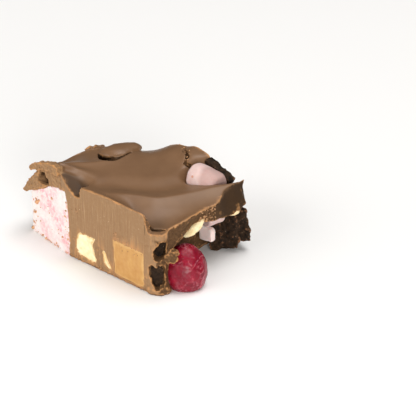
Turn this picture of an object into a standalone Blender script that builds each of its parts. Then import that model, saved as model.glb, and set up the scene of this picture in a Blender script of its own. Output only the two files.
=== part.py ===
# A hand-cut piece of rocky road: a thick milk chocolate slab with marshmallow, peanuts,
# caramel, biscuit and a raspberry jelly in it. The front is a knife cut, the right side is
# broken open under the poured top, and the near corner is worn to a narrow column.
# Lengths below are millimetres. The last step turns the meshes into metres and stands the
# piece on the floor with the middle of its box over the origin.

import bpy
import bmesh
from math import cos, exp, hypot, radians, sin
from mathutils import Matrix, Vector, noise

# Overall form
FRONT_Y = -20.0          # knife-cut front face
BACK_Y = 20.0            # knife-cut back face
RIGHT_X = 28.0           # broken right face
CORNER_X = 25.4          # the front face ends here, where the corner column begins
CUT_END_X = -10.0        # the front chocolate ends here, where the marshmallow begins
LEFT_X = -31.5           # broken left face, which the marshmallow stands out of
TOP_Z = 25.0             # usual height of the poured top
TURN = 0.176             # the marshmallow's face runs back by this much for each mm to the left
GAP = 0.3                # clearance between each filling and its pocket
TOP_CELL = 1.7           # spacing of the points of the poured top
WALL_STEP = 2.2          # spacing of the points of the broken sides
WALL_LEVELS = 12         # rows of points up the broken sides
WALL_LEVEL_STEP = 2.4    # height between the rows
WALL_TOP = 34.0          # the sides reach this high before the poured top trims them
BELOW_FLOOR = 3.0        # the poured top's solid starts this far under the floor
BROKEN_DEPTH = 0.9       # how far the broken sides wander
FLAKE_STEP = 2.6         # spacing of the points of the flakes' outlines
FLAKE_WEAR = 0.35        # how far the flakes' points wander
SORT_BY = Vector((1.0, 17.31, 313.7))

# The raspberry jelly: a ball, narrower at its top, cut off flat below its middle
JELLY_AT, JELLY_RADIUS, JELLY_HEIGHT = (28.2, -8.9), 7.1, 13.2
JELLY_FOOT = 0.78        # its flat foot lies this share of the ball's half height below the middle
JELLY_NARROWS = 0.13     # its top is narrower by this share

# The hollow on the right
RECESS_DEPTH = 12.0      # how far the slab overhangs
RECESS_SHELF = 5.5       # its inner wall stands out by this much behind the jelly and the shelf
RECESS_WEAR = 0.7        # how far its walls wander

# Rounded pieces and hollows: centre, half widths or radius and length, turns in degrees
CREVICE = {"centre": (-15.0, 2.5, 24.4), "radii": (4.6, 1.8, 3.8), "turns": (0, 0, 4)}
CRACK = {"centre": (5.2, 16.0, 27.6), "radii": (7.0, 0.45, 1.7), "turns": (0, 9, -43)}
CURL = {"centre": (-15.3, 7.2, 24.7), "radius": 2.1, "length": 13.0, "turns": (0, 84, 52)}
PEANUT_RIGHT = {"centre": (26.6, -4.6, 16.7), "radii": (3.0, 5.2, 1.7), "turns": (22, 0, 0)}
PEANUT_TIP = {"centre": (26.6, 13.4, 15.4), "radii": (2.4, 2.2, 1.0), "turns": (10, 0, 0)}
MINI_TOP = {"centre": (15.9, 11.6, 22.8), "radius": 4.8, "length": 9.4, "turns": (0, 90, 4)}
STRIP_SIDE = {"centre": (23.2, 8.6, 14.0), "radius": 2.3, "length": 6.2, "turns": (90, 0, -8)}

# Broken biscuit lumps: size, centre, turns in degrees, wear and seed
BISCUIT_RIGHT = {"size": (12.6, 6.0, 13.0), "centre": (22.0, 16.4, 6.9), "turns": (0, -8, 47),
                 "cuts": 4, "wear": 0.8, "seed": 3.0}
BISCUIT_TOP = {"size": (11.5, 3.2, 8.0), "centre": (15.6, 18.7, 21.4), "turns": (0, 24, 0),
               "cuts": 3, "wear": 0.35, "seed": 5.0}

# The crest crosses the top from the front edge to the far right corner, with a scoop before it
CREST_START = (-1.4, -20.8)
CREST_RUN = (0.627, 0.779)
SCOOP = ((0.0, 0.0), (5.0, 2.4), (11.0, 3.7), (20.0, 5.8), (30.0, 6.6))
CREST_RISE, CREST_WIDTH = 0.8, 2.6
CREST_LEVEL = ((0.0, -0.2), (16.0, -0.2), (32.0, -2.1), (44.0, -1.3), (52.0, -0.8))
CREST_REACH = 9.0
RIM_RISE = 1.5           # the front edge stands this much above the poured top
LEFT_FALL = ((-34.0, 9.5), (-28.5, 5.0), (-23.0, 0.0))

# Soft swells and hollows of the poured top: centre, half widths, turn in degrees, height,
# and how steep the sides are (2 is a soft bell, 4 has a flat middle)
SWELLS = (
    ((-0.5, 18.5), (6.8, 6.5), 0.0, 2.3, 2),        # hump at the back
    ((8.0, 18.5), (6.0, 6.5), 0.0, 2.6, 4),         # plate beside the hump
    ((-12.0, -13.0), (8.5, 2.1), -14.0, 1.9, 2),    # ridge behind the notch
    ((-8.4, -19.2), (3.6, 4.2), 0.0, -4.4, 4),      # notch in the front edge
    ((-13.0, -7.5), (5.5, 3.2), -10.0, -1.2, 2),    # hollow behind the ridge
    ((3.0, -3.0), (12.0, 6.0), 50.0, -1.5, 2),      # broad valley behind the crest
    ((-22.6, -3.0), (2.2, 9.0), 0.0, 1.2, 2),       # raised lip of the left border
    ((-17.6, 0.5), (3.0, 6.0), 0.0, -1.0, 2),       # flat panel inside the lip
    ((25.2, -17.0), (3.4, 2.4), 40.0, -1.5, 2),     # dip behind the column
    ((29.0, -10.0), (2.8, 5.5), 0.0, 3.4, 2),       # lip of the right edge
    ((19.5, 17.0), (6.5, 6.0), 0.0, -8.0, 4),       # cavity that holds the small marshmallow
    ((13.5, 12.0), (3.6, 4.6), 0.0, -3.6, 4),       # its left end
)


def smooth_step(low, high, value):
    t = min(max((value - low) / (high - low), 0.0), 1.0)
    return t * t * (3 - 2 * t)


def read_profile(profile, at):
    """The value of a soft-cornered line through the points, level beyond its ends."""
    for (x0, y0), (x1, y1) in zip(profile, profile[1:]):
        if at <= x1:
            return y0 + (y1 - y0) * smooth_step(x0, x1, at)
    return profile[-1][1]


def swell(x, y, centre, widths, turn, steepness):
    dx, dy = x - centre[0], y - centre[1]
    c, s = cos(radians(turn)), sin(radians(turn))
    along, across = (dx * c + dy * s) / widths[0], (dy * c - dx * s) / widths[1]
    return exp(-hypot(along, across) ** steepness)


def top_height(x, y):
    """Height of the poured top over a point of the floor."""
    to_corner = (x - CREST_START[0]) * CREST_RUN[1] - (y - CREST_START[1]) * CREST_RUN[0]
    along_crest = (x - CREST_START[0]) * CREST_RUN[0] + (y - CREST_START[1]) * CREST_RUN[1]
    behind_edge = 0.15 + 0.85 * smooth_step(FRONT_Y, FRONT_Y + 9, y)
    past_rim = smooth_step(21.8, 24.6, x)
    height = TOP_Z - read_profile(SCOOP, to_corner) * max(behind_edge, past_rim)
    rim = smooth_step(FRONT_Y + 3.5, FRONT_Y, y) * smooth_step(-4.5, -2.5, x) * (1 - past_rim)
    height += RIM_RISE * rim * (0.3 + 0.7 * smooth_step(-3, 9, x))
    height += CREST_RISE * exp(-(to_corner / CREST_WIDTH) ** 2) * smooth_step(-16, -8, y)
    height += read_profile(CREST_LEVEL, along_crest) * exp(-(to_corner / CREST_REACH) ** 2)
    for centre, widths, turn, rise, steepness in SWELLS:
        height += rise * swell(x, y, centre, widths, turn, steepness)
    left_fall = read_profile(LEFT_FALL, x)
    return height - left_fall * (1 + 0.5 * smooth_step(-12, -4, y))


# Planes that outlines are drawn on: each takes (across, height, depth into the piece)

def on_front(across, height, depth=0.0):
    return Vector((across, FRONT_Y + depth, height))


def on_turned(across, height, depth=0.0):
    return Vector((across, FRONT_Y - TURN * (across - CUT_END_X) + depth, height))


def on_right(across, height, depth=0.0):
    return Vector((RIGHT_X - depth, across, height))


def on_back(across, height, depth=0.0):
    return Vector((across, BACK_Y - depth, height))


def on_slant(across, height, depth=0.0):
    start, run = Vector((-27.5, 2.5, 0)), Vector((0.783, 0.622, 0))
    return start + run * across + Vector((0.622, -0.783, 0)) * depth + Vector((0, 0, height))


def on_floor(across, height, depth=0.0):
    return Vector((across, height, depth))


def on_corner(across, height, depth=0.0):
    start, run = Vector((24.3, -20.5, 0)), Vector((0.742, 0.670, 0))
    return start + run * across + Vector((-0.670, 0.742, 0)) * depth + Vector((0, 0, height))


def start_scene():
    for obj in list(bpy.data.objects):
        bpy.data.objects.remove(obj)
    for name in ("rocky_road", "cutters"):
        collection = bpy.data.collections.new(name)
        bpy.context.scene.collection.children.link(collection)
    bpy.data.collections["cutters"].hide_render = True


def make_material(name, color, roughness):
    material = bpy.data.materials.new(name)
    material.use_nodes = True
    shader = material.node_tree.nodes["Principled BSDF"]
    shader.inputs["Base Color"].default_value = (*color, 1)
    shader.inputs["Roughness"].default_value = roughness
    shader.inputs["Metallic"].default_value = 0.0
    return material


def put_in_order(mesh):
    """Sorts the points and faces by place, so that each run gives the same mesh."""
    mesh.verts.sort(key=lambda vert: vert.co.dot(SORT_BY))
    mesh.faces.sort(key=lambda face: face.calc_center_median().dot(SORT_BY))


def add_object(name, mesh, collection="rocky_road"):
    """The finished bmesh as an object of triangles in a fixed order, facing out."""
    bmesh.ops.triangulate(mesh, faces=mesh.faces)
    put_in_order(mesh)
    bmesh.ops.recalc_face_normals(mesh, faces=mesh.faces)
    data = bpy.data.meshes.new(name)
    mesh.to_mesh(data)
    mesh.free()
    obj = bpy.data.objects.new(name, data)
    bpy.data.collections[collection].objects.link(obj)
    if collection == "cutters":
        obj.hide_render = True
        obj.display_type = "WIRE"
    return obj


def with_steps(outline, step):
    """The closed outline with points no further apart than the step."""
    points = []
    for start, end in zip(outline, outline[1:] + outline[:1]):
        start, end = Vector(start), Vector(end)
        count = max(1, round((end - start).length / step))
        points += [start.lerp(end, i / count) for i in range(count)]
    return points


def prism(outline, plane, depth, taper=1.0, start=0.0, lift=0.0):
    """A flat outline on a plane, pushed into the piece. The far end shrinks by the taper."""
    mesh = bmesh.new()
    face = mesh.faces.new([mesh.verts.new(plane(u, v, start)) for u, v in outline])
    grown = bmesh.ops.extrude_face_region(mesh, geom=[face])["geom"]
    far = [item for item in grown if isinstance(item, bmesh.types.BMVert)]
    push = plane(0, 0, depth) - plane(0, 0, start) + Vector((0, 0, lift))
    bmesh.ops.translate(mesh, vec=push, verts=far)
    middle = sum((vert.co for vert in far), Vector()) / len(far)
    for vert in far:
        vert.co = middle + (vert.co - middle) * taper
    bmesh.ops.triangulate(mesh, faces=[face for face in mesh.faces if len(face.verts) > 4])
    put_in_order(mesh)
    return mesh


def wander(point, grain, seed=0.0):
    """A smooth uneven offset, the same on each run, of up to about one each way."""
    at = point / grain + Vector((seed, 0, 0))
    shifts = (Vector((0, 0, 0)), Vector((31.7, 5.3, 0)), Vector((0, 17.9, 43.1)))
    return Vector([noise.noise(at + shift) for shift in shifts])


def roughen(mesh, size, grain, seed):
    """Moves each point by up to about the size, in swells about one grain across."""
    for vert in mesh.verts:
        vert.co += wander(vert.co, grain, seed) * size


def place_mesh(mesh, centre, turns=(0, 0, 0), scale=(1, 1, 1)):
    """Scales the mesh, turns it about X, then Y, then Z by degrees, and moves it."""
    turn = Matrix.Identity(3)
    for axis, angle in zip("XYZ", turns):
        turn = Matrix.Rotation(radians(angle), 3, axis) @ turn
    bmesh.ops.scale(mesh, vec=scale, verts=mesh.verts)
    bmesh.ops.rotate(mesh, matrix=turn, verts=mesh.verts)
    bmesh.ops.translate(mesh, vec=centre, verts=mesh.verts)
    return mesh


def pebble(centre, radii, turns, segments=12, rings=6):
    """A rounded lump: a sphere stretched and turned."""
    mesh = bmesh.new()
    bmesh.ops.create_uvsphere(mesh, u_segments=segments, v_segments=rings, radius=1)
    return place_mesh(mesh, centre, turns, radii)


def drum(centre, radius, length, turns, squash=1.0, segments=16, edge=0.28):
    """A short cylinder with soft edges, such as a small marshmallow."""
    mesh = bmesh.new()
    bmesh.ops.create_cone(mesh, cap_ends=True, segments=segments, radius1=radius,
                          radius2=radius, depth=length)
    rims = [side for side in mesh.edges if abs(side.verts[0].co.z - side.verts[1].co.z) < 0.01]
    bmesh.ops.bevel(mesh, geom=rims, offset=radius * edge, segments=2, profile=0.5,
                    affect="EDGES")
    return place_mesh(mesh, centre, turns, (1, squash, 1))


def chunk(size, centre, turns, cuts, wear, seed):
    """A broken biscuit lump: a box with its sides divided and pushed about."""
    mesh = bmesh.new()
    bmesh.ops.create_cube(mesh, size=1)
    bmesh.ops.subdivide_edges(mesh, edges=mesh.edges, cuts=cuts, use_grid_fill=True)
    for vert in mesh.verts:
        vert.co *= 1 - 0.25 * (vert.co.length - 0.5)
    bmesh.ops.scale(mesh, vec=size, verts=mesh.verts)
    roughen(mesh, wear, 2.6, seed)
    place_mesh(mesh, centre, turns)
    for vert in mesh.verts:
        vert.co.z = max(vert.co.z, 0.0)
    return mesh


def raspberry():
    """A soft jelly dome, widest near its foot, with a flat underside."""
    mesh = bmesh.new()
    bmesh.ops.create_uvsphere(mesh, u_segments=24, v_segments=14, radius=1)
    for vert in mesh.verts:
        level = (vert.co.z + 1) / 2
        wide = 1.0 - JELLY_NARROWS * level ** 2
        vert.co.x *= wide
        vert.co.y *= wide
    roughen(mesh, 0.06, 0.7, 2.0)
    half_height = JELLY_HEIGHT / (1 + JELLY_FOOT)
    place_mesh(mesh, (0, 0, 0), scale=(JELLY_RADIUS, JELLY_RADIUS, half_height))
    lowest = -half_height * JELLY_FOOT
    for vert in mesh.verts:
        vert.co.z = max(vert.co.z, lowest)
    bmesh.ops.dissolve_limit(mesh, angle_limit=radians(0.5), verts=mesh.verts, edges=mesh.edges)
    return place_mesh(mesh, (JELLY_AT[0], JELLY_AT[1], -lowest))


def apply_modifiers(obj):
    graph = bpy.context.evaluated_depsgraph_get()
    data = bpy.data.meshes.new_from_object(obj.evaluated_get(graph))
    obj.modifiers.clear()
    obj.data = data


def combine(obj, others, operation, solver="EXACT"):
    """Joins, cuts or intersects the object with all the others at once, and removes them."""
    group = bpy.data.collections.new("group")
    bpy.context.scene.collection.children.link(group)
    for other in others:
        group.objects.link(other)
    modifier = obj.modifiers.new("combine", "BOOLEAN")
    modifier.operation = operation
    modifier.solver = solver
    modifier.operand_type = "COLLECTION"
    modifier.collection = group
    bpy.context.view_layer.update()
    apply_modifiers(obj)
    for other in list(others):
        bpy.data.objects.remove(other)
    bpy.data.collections.remove(group)


def keep_largest(obj):
    """Drops loose scraps that the cuts leave."""
    mesh = bmesh.new()
    mesh.from_mesh(obj.data)
    left = set(mesh.verts)
    bodies = []
    while left:
        body, edge = set(), [left.pop()]
        while edge:
            vert = edge.pop()
            body.add(vert)
            for link in vert.link_edges:
                other = link.other_vert(vert)
                if other in left:
                    left.remove(other)
                    edge.append(other)
        bodies.append(body)
    bodies.sort(key=len)
    scraps = [vert for body in bodies[:-1] for vert in body]
    bmesh.ops.delete(mesh, geom=scraps, context="VERTS")
    mesh.to_mesh(obj.data)
    mesh.free()


def pocket_for(obj):
    """A copy of a filling, grown by the clearance, to cut its pocket with."""
    mesh = bmesh.new()
    mesh.from_mesh(obj.data)
    mesh.normal_update()
    moves = [(vert, vert.normal * GAP * min(vert.calc_shell_factor(), 2.0)) for vert in mesh.verts]
    for vert, move in moves:
        vert.co += move
    return add_object(obj.name + "_pocket", mesh, "cutters")


def poured_top():
    """The solid under the poured top, wider than the piece."""
    width, depth = RIGHT_X - LEFT_X + 12, BACK_Y - FRONT_Y + 8
    mesh = bmesh.new()
    bmesh.ops.create_grid(mesh, x_segments=round(width / TOP_CELL),
                          y_segments=round(depth / TOP_CELL), size=0.5)
    bmesh.ops.scale(mesh, vec=(width, depth, 1), verts=mesh.verts)
    bmesh.ops.translate(mesh, vec=((RIGHT_X + LEFT_X) / 2, 0, 0), verts=mesh.verts)
    base = bmesh.ops.extrude_face_region(mesh, geom=mesh.faces[:])["geom"]
    base = {item for item in base if isinstance(item, bmesh.types.BMVert)}
    for vert in mesh.verts:
        vert.co.z = -BELOW_FLOOR if vert in base else top_height(vert.co.x, vert.co.y)
    return add_object("poured_top", mesh, "cutters")


# Footprint, clockwise from the left end of the front cut, seen from above
FOOTPRINT = (
    (CUT_END_X, FRONT_Y), (LEFT_X + 1.7, FRONT_Y - TURN * (LEFT_X + 1.7 - CUT_END_X)),
    (LEFT_X + 1.3, -4.0), (-27.5, 2.5), (-20.5, 8.8), (-12.5, 15.2), (-5.5, BACK_Y), (8.0, BACK_Y),
    (25.0, BACK_Y), (28.6, 17.5), (RIGHT_X, 8.0), (28.3, 0.0), (RIGHT_X, -8.0), (27.6, -15.0),
    (28.2, -16.8), (28.0, -18.4), (27.1, -19.5), (CORNER_X, FRONT_Y),
)


def on_knife_cut(point):
    on_front_cut = point.y < FRONT_Y + 0.05 - TURN * min(point.x - CUT_END_X, 0)
    return on_front_cut or point.y > BACK_Y - 0.05


def broken_walls():
    """The sides of the piece: flat where the knife went, uneven where it broke."""
    outline = with_steps(FOOTPRINT, WALL_STEP)
    mesh = prism([(p.x, p.y) for p in outline], on_floor, WALL_TOP)
    for level in range(1, WALL_LEVELS + 1):
        geometry = mesh.verts[:] + mesh.edges[:] + mesh.faces[:]
        bmesh.ops.bisect_plane(mesh, geom=geometry, plane_co=(0, 0, level * WALL_LEVEL_STEP),
                               plane_no=(0, 0, 1))
    for vert in mesh.verts:
        if on_knife_cut(vert.co):
            continue
        move = wander(vert.co, 5.0) + wander(vert.co, 2.1) * 0.4
        vert.co.x += move.x * BROKEN_DEPTH
        vert.co.y += move.y * BROKEN_DEPTH
    return add_object("chocolate_block", mesh)


# Underside of the top slab along the broken right side: (y, z)
SLAB_UNDERSIDE = (
    (-14.6, -2.0), (-14.6, 8.0), (-13.7, 13.6), (-9.5, 16.1), (-2.0, 18.4), (4.3, 16.9),
    (12.8, 16.2), (18.5, 17.2), (25.0, 19.0), (25.0, -2.0),
)


def recess():
    """The hollow that broke out under the slab on the right."""
    mesh = prism(SLAB_UNDERSIDE, on_right, RECESS_DEPTH, start=-6.0)
    bmesh.ops.subdivide_edges(mesh, edges=mesh.edges, cuts=3, use_grid_fill=True)
    for vert in mesh.verts:
        inner = smooth_step(RIGHT_X - 2, RIGHT_X - RECESS_DEPTH, vert.co.x)
        behind_jelly = smooth_step(-3.0, -8.0, vert.co.y)
        shelf = smooth_step(8.5, 5.5, vert.co.y) * smooth_step(2.5, 6.0, vert.co.z)
        vert.co.x += inner * RECESS_SHELF * max(behind_jelly, shelf)
    roughen(mesh, RECESS_WEAR, 3.0, 7.0)
    return add_object("recess", mesh, "cutters")


def crevice():
    """The dark slit under the curl of chocolate on the top."""
    return add_object("crevice", pebble(**CREVICE), "cutters")


def crack():
    """The crack that splits a plate off the hump at the back."""
    return add_object("crack", pebble(**CRACK, segments=10), "cutters")


# Flakes over the marshmallow, drawn on its turned face: (x, z)
UPPER_FLAKE = (
    (-30.2, 22.9), (-29.2, 24.2), (-25.2, 26.2), (-20.5, 27.8), (-16.1, 29.2), (-12.6, 28.2),
    (-11.9, 26.0), (-12.2, 22.0), (-18.0, 21.5), (-23.6, 24.3), (-26.8, 23.3),
)
MIDDLE_FLAKE = (
    (-23.4, 25.0), (-11.2, 26.0), (-10.2, 22.4), (-12.5, 22.6), (-15.5, 21.9), (-17.6, 22.4),
    (-20.0, 20.8), (-22.4, 21.3),
)
LOWER_FLAKE = (
    (-23.6, 23.9), (-26.0, 22.2), (-28.1, 20.4), (-31.0, 17.9), (-33.2, 15.9), (-35.5, 13.3),
    (-34.0, 13.4), (-31.9, 14.6), (-28.6, 15.6), (-25.4, 17.7), (-22.6, 18.6), (-22.0, 20.6),
)


def flakes():
    """Rough flakes of the crust that overhang the marshmallow."""
    shapes = (
        (UPPER_FLAKE, 5.5, -0.6, -1.6),
        (MIDDLE_FLAKE, 5.0, -0.2, 0.0),
        (LOWER_FLAKE, 9.0, -0.5, 0.8),
    )
    made = []
    for index, (outline, depth, start, lift) in enumerate(shapes):
        points = [tuple(point) for point in with_steps(outline, FLAKE_STEP)]
        mesh = prism(points, on_turned, depth, 0.88, start, lift)
        sides = [edge for edge in mesh.edges if edge.calc_length() > 1.6 * FLAKE_STEP]
        bmesh.ops.subdivide_edges(mesh, edges=sides, cuts=1)
        bmesh.ops.triangulate(mesh, faces=mesh.faces)
        roughen(mesh, FLAKE_WEAR, 1.6, 11.0 + index)
        made.append(add_object(f"flake_{index}", mesh, "cutters"))
    return made


def curl():
    """The short curl of chocolate lying on the back left of the top."""
    return add_object("curl", drum(**CURL, squash=0.9, segments=12, edge=0.35), "cutters")


# Cut faces of the fillings, drawn on the face where they show
NUT_FACE = (
    (-7.3, 4.0), (-6.6, 7.2), (-5.4, 9.5), (-4.2, 9.9), (-2.6, 10.4), (-0.5, 9.8), (1.9, 10.0),
    (1.2, 8.8), (0.3, 7.4), (1.0, 6.0), (1.4, 4.4), (2.2, 2.6), (1.6, 1.6), (-0.1, 1.3),
    (-3.6, 1.5), (-6.0, 2.3),
)
SLIVER_FACE = (
    (4.7, 6.6), (5.2, 7.3), (5.8, 7.2), (6.5, 5.4), (7.4, 3.6), (8.7, 2.2), (8.3, 1.6),
    (7.3, 1.5), (6.3, 2.0), (5.5, 2.9), (5.0, 4.8),
)
CARAMEL_FACE = ((9.4, 12.6), (15.5, 12.4), (22.2, 12.3), (22.0, 0.9), (15.8, 0.9), (9.7, 1.2))
UPPER_BISCUIT_FACE = (
    (4.6, 17.2), (5.7, 16.2), (5.5, 14.4), (4.9, 12.4), (3.4, 10.9), (2.0, 11.8), (1.4, 13.8),
    (2.6, 15.8),
)
LOWER_BISCUIT_FACE = (
    (0.7, 8.6), (2.4, 9.3), (4.2, 9.3), (4.6, 6.6), (4.4, 3.8), (3.6, 1.4), (2.2, 1.2), (1.0, 3.4),
)
MALLOW_FACE = (
    (CUT_END_X - 0.2, 0.2), (-9.9, 7.3), (-9.9, 14.0), (-10.2, 18.0), (-11.0, 21.4),
    (-15.5, 20.9), (-20.0, 19.8), (-24.0, 17.6), (-28.6, 15.4), (-31.6, 13.7), (-30.9, 11.4),
    (-31.4, 6.1), (-31.9, 0.2),
)
SIDE_MALLOW_FACE = ((20.6, 6.8), (25.1, 7.2), (25.0, 10.6), (24.2, 11.4), (20.6, 12.0))
SLANT_MALLOW_FACE = ((3.0, 5.0), (12.0, 4.2), (13.4, 9.0), (12.4, 14.5), (4.2, 14.0), (2.0, 9.0))
SLANT_NUT_FACE = (
    (17.0, 8.6), (19.4, 7.0), (23.0, 7.4), (25.0, 9.4), (24.0, 12.4), (20.4, 13.6), (17.8, 11.6),
)
BACK_CARAMEL_FACE = ((-3.0, 2.6), (6.6, 3.4), (6.0, 13.0), (-3.6, 12.2))
BACK_NUT_FACE = (
    (9.0, 8.0), (11.0, 6.2), (15.0, 6.4), (18.2, 8.6), (18.4, 11.0), (16.2, 12.8), (12.0, 12.6),
    (9.4, 10.8),
)
BACK_BISCUIT_FACE = (
    (-2.0, 17.6), (2.0, 16.4), (7.6, 17.2), (8.6, 20.4), (6.2, 22.8), (0.4, 22.6), (-2.8, 20.6),
)

def filling_prisms():
    """Fillings that a face shows: (node, outline, face, depth, taper, how far it stands out)."""
    return (
        ("marshmallow_large", MALLOW_FACE, on_turned, 12.5, 0.97, 0.0),
        ("peanut_cut", NUT_FACE, on_front, 6.0, 0.7, 0.0),
        ("peanut_sliver", SLIVER_FACE, on_front, 4.5, 0.7, 0.0),
        ("caramel_block", CARAMEL_FACE, on_front, 5.8, 0.94, 0.0),
        ("biscuit_upper", UPPER_BISCUIT_FACE, on_corner, 4.6, 0.8, 0.0),
        ("biscuit_lower", LOWER_BISCUIT_FACE, on_corner, 2.2, 0.7, 0.0),
        ("marshmallow_slant", SLANT_MALLOW_FACE, on_slant, 4.0, 0.85, 1.2),
        ("peanut_slant", SLANT_NUT_FACE, on_slant, 5.0, 0.7, 1.6),
        ("caramel_back", BACK_CARAMEL_FACE, on_back, 9.0, 0.95, 0.0),
        ("peanut_back", BACK_NUT_FACE, on_back, 5.0, 0.7, 0.0),
        ("biscuit_back", BACK_BISCUIT_FACE, on_back, 5.0, 0.85, 0.0),
    )


MATERIALS = {
    "milk_chocolate": ((0.27, 0.145, 0.085), 0.34),
    "marshmallow": ((0.93, 0.80, 0.78), 0.72),
    "pink_marshmallow": ((0.84, 0.58, 0.54), 0.70),
    "peanut": ((0.87, 0.70, 0.36), 0.45),
    "caramel": ((0.66, 0.34, 0.11), 0.38),
    "biscuit": ((0.045, 0.025, 0.016), 0.60),
    "raspberry_jelly": ((0.36, 0.02, 0.035), 0.30),
}


def finish_of(node):
    if node.startswith("marshmallow"):
        return "marshmallow" if node == "marshmallow_large" else "pink_marshmallow"
    for word in ("peanut", "caramel", "biscuit", "raspberry"):
        if node.startswith(word):
            return "raspberry_jelly" if word == "raspberry" else word
    return "milk_chocolate"


def corner_holes():
    """Openings in the corner column, so that the biscuit inside shows."""
    return [add_object("corner_hole", prism(outline, on_corner, 1.0, start=-3.0), "cutters")
            for outline in (UPPER_BISCUIT_FACE, LOWER_BISCUIT_FACE)]


def stand_on_floor(parts):
    """Puts the middle of the box over the origin, and turns millimetres into metres."""
    points = [vert.co for part in parts for vert in part.data.vertices]
    low = Vector(min(point[axis] for point in points) for axis in range(3))
    high = Vector(max(point[axis] for point in points) for axis in range(3))
    foot = Vector(((low.x + high.x) / 2, (low.y + high.y) / 2, low.z))
    for part in parts:
        part.data.transform(Matrix.Scale(0.001, 4) @ Matrix.Translation(-foot))
    print("foot of the design frame:", foot)


def make_fillings():
    fillings = []
    for node, outline, face, depth, taper, proud in filling_prisms():
        fillings.append(add_object(node, prism(outline, face, depth, taper, -proud)))
    fillings += [
        add_object("raspberry_jelly", raspberry()),
        add_object("peanut_right", pebble(**PEANUT_RIGHT, rings=8)),
        add_object("peanut_tip", pebble(**PEANUT_TIP, segments=10)),
        add_object("marshmallow_mini_top", drum(**MINI_TOP, squash=0.94)),
        add_object("marshmallow_mini_side", prism(SIDE_MALLOW_FACE, on_front, 27.2, 0.94, 24.4)),
        add_object("marshmallow_strip_side", drum(**STRIP_SIDE)),
        add_object("biscuit_chunk_right", chunk(**BISCUIT_RIGHT)),
        add_object("biscuit_top_back", chunk(**BISCUIT_TOP)),
    ]
    return fillings


def build():
    start_scene()
    materials = {name: make_material(name, *look) for name, look in MATERIALS.items()}
    block = broken_walls()
    combine(block, [poured_top()], "INTERSECT")
    combine(block, [recess(), crevice(), crack()], "DIFFERENCE", "MANIFOLD")
    combine(block, [*flakes(), curl()], "UNION", "MANIFOLD")
    fillings = make_fillings()
    pockets = [pocket_for(filling) for filling in fillings] + corner_holes()
    combine(block, pockets, "DIFFERENCE", "MANIFOLD")
    keep_largest(block)
    parts = [block, *fillings]
    stand_on_floor(parts)
    for part in parts:
        part.data.materials.clear()
        part.data.materials.append(materials[finish_of(part.name)])
        part.data.shade_smooth()
        part.data.set_sharp_from_angle(angle=radians(35))


build()
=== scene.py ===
from math import cos, radians, sin

import bmesh
import bpy
import numpy as np
from mathutils import Matrix, Vector, noise


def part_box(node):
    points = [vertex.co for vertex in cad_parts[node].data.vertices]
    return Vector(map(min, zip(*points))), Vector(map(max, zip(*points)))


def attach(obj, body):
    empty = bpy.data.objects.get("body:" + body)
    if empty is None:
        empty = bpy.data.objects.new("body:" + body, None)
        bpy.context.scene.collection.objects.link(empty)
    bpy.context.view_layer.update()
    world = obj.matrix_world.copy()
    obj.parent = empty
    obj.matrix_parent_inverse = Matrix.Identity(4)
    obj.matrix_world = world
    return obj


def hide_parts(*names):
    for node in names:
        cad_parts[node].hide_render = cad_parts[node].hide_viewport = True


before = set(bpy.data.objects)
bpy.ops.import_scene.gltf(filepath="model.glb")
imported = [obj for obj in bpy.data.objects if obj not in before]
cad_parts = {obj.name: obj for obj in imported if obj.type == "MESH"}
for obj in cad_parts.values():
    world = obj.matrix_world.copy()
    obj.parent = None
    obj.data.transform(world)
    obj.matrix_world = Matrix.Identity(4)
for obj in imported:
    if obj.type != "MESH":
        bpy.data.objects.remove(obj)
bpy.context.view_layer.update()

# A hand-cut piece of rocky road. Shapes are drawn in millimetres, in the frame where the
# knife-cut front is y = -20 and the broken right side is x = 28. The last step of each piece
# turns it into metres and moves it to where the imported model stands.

block = {
    "frontY": -20.0,        # knife-cut front face
    "backY": 20.0,          # knife-cut back face
    "rightX": 28.0,         # broken right side
    "cutEndX": -10.0,       # the front chocolate ends here, where the marshmallow begins
    "leftX": -31.5,         # broken left side
    "topZ": 25.0,           # usual height of the poured top
    "turn": 0.176,          # the marshmallow's face runs back by this for each mm to the left
    "topCell": 0.5,         # spacing of the points of the poured top
    "wallStep": 0.9,        # spacing of the points of the broken sides
    "wander": 0.9,          # how far the broken sides wander
    "voxel": 0.23,          # size of the cells that all the shapes are fused with
    "triangles": 185000,
}
frontY, backY, rightX = block["frontY"], block["backY"], block["rightX"]
cutEndX, leftX = block["cutEndX"], block["leftX"]

# The crest crosses the top from the front edge to the far right corner, with a scoop before it
crest = {
    "start": (-1.4, -20.8), "run": (0.627, 0.779), "reach": 9.0, "fold": 0.3,
    "scoopDepth": 6.1, "scoopLength": 9.0, "valleyDepth": 1.3, "valleyAt": -7.0, "valleyWidth": 4.5,
    "level": ((0.0, 0.0), (16.0, -0.3), (32.0, -1.1), (44.0, -1.0), (52.0, -1.0)),
    "bow": ((0.0, 0.3), (4.6, 1.8), (10.4, 3.0), (16.0, 4.7), (20.8, 6.2), (26.5, 4.9), (31.0, 3.2),
            (37.5, 0.8), (42.3, -0.6), (47.0, -2.0)),
    "bowEnds": (19, 9), "valleyStarts": (-4, 6),
    "leftFall": ((-34.0, 11.0), (-29.0, 6.0), (-25.4, 0.7), (-24.4, 0.0)),
}

# The rim along the front edge: how far behind it the scoop is full, where that run gets shorter,
# the part of the scoop that the edge itself has, and where the raised rim starts, grows and ends
frontRim = {"run": 9.0, "shorter": 5.8, "shortens": (6, 18), "atEdge": 0.15, "ends": (21.6, 24.4),
            "rise": 0.9, "width": 2.4, "starts": (-4.5, -2.5), "atStart": 0.3, "grows": (-3, 9)}

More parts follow.
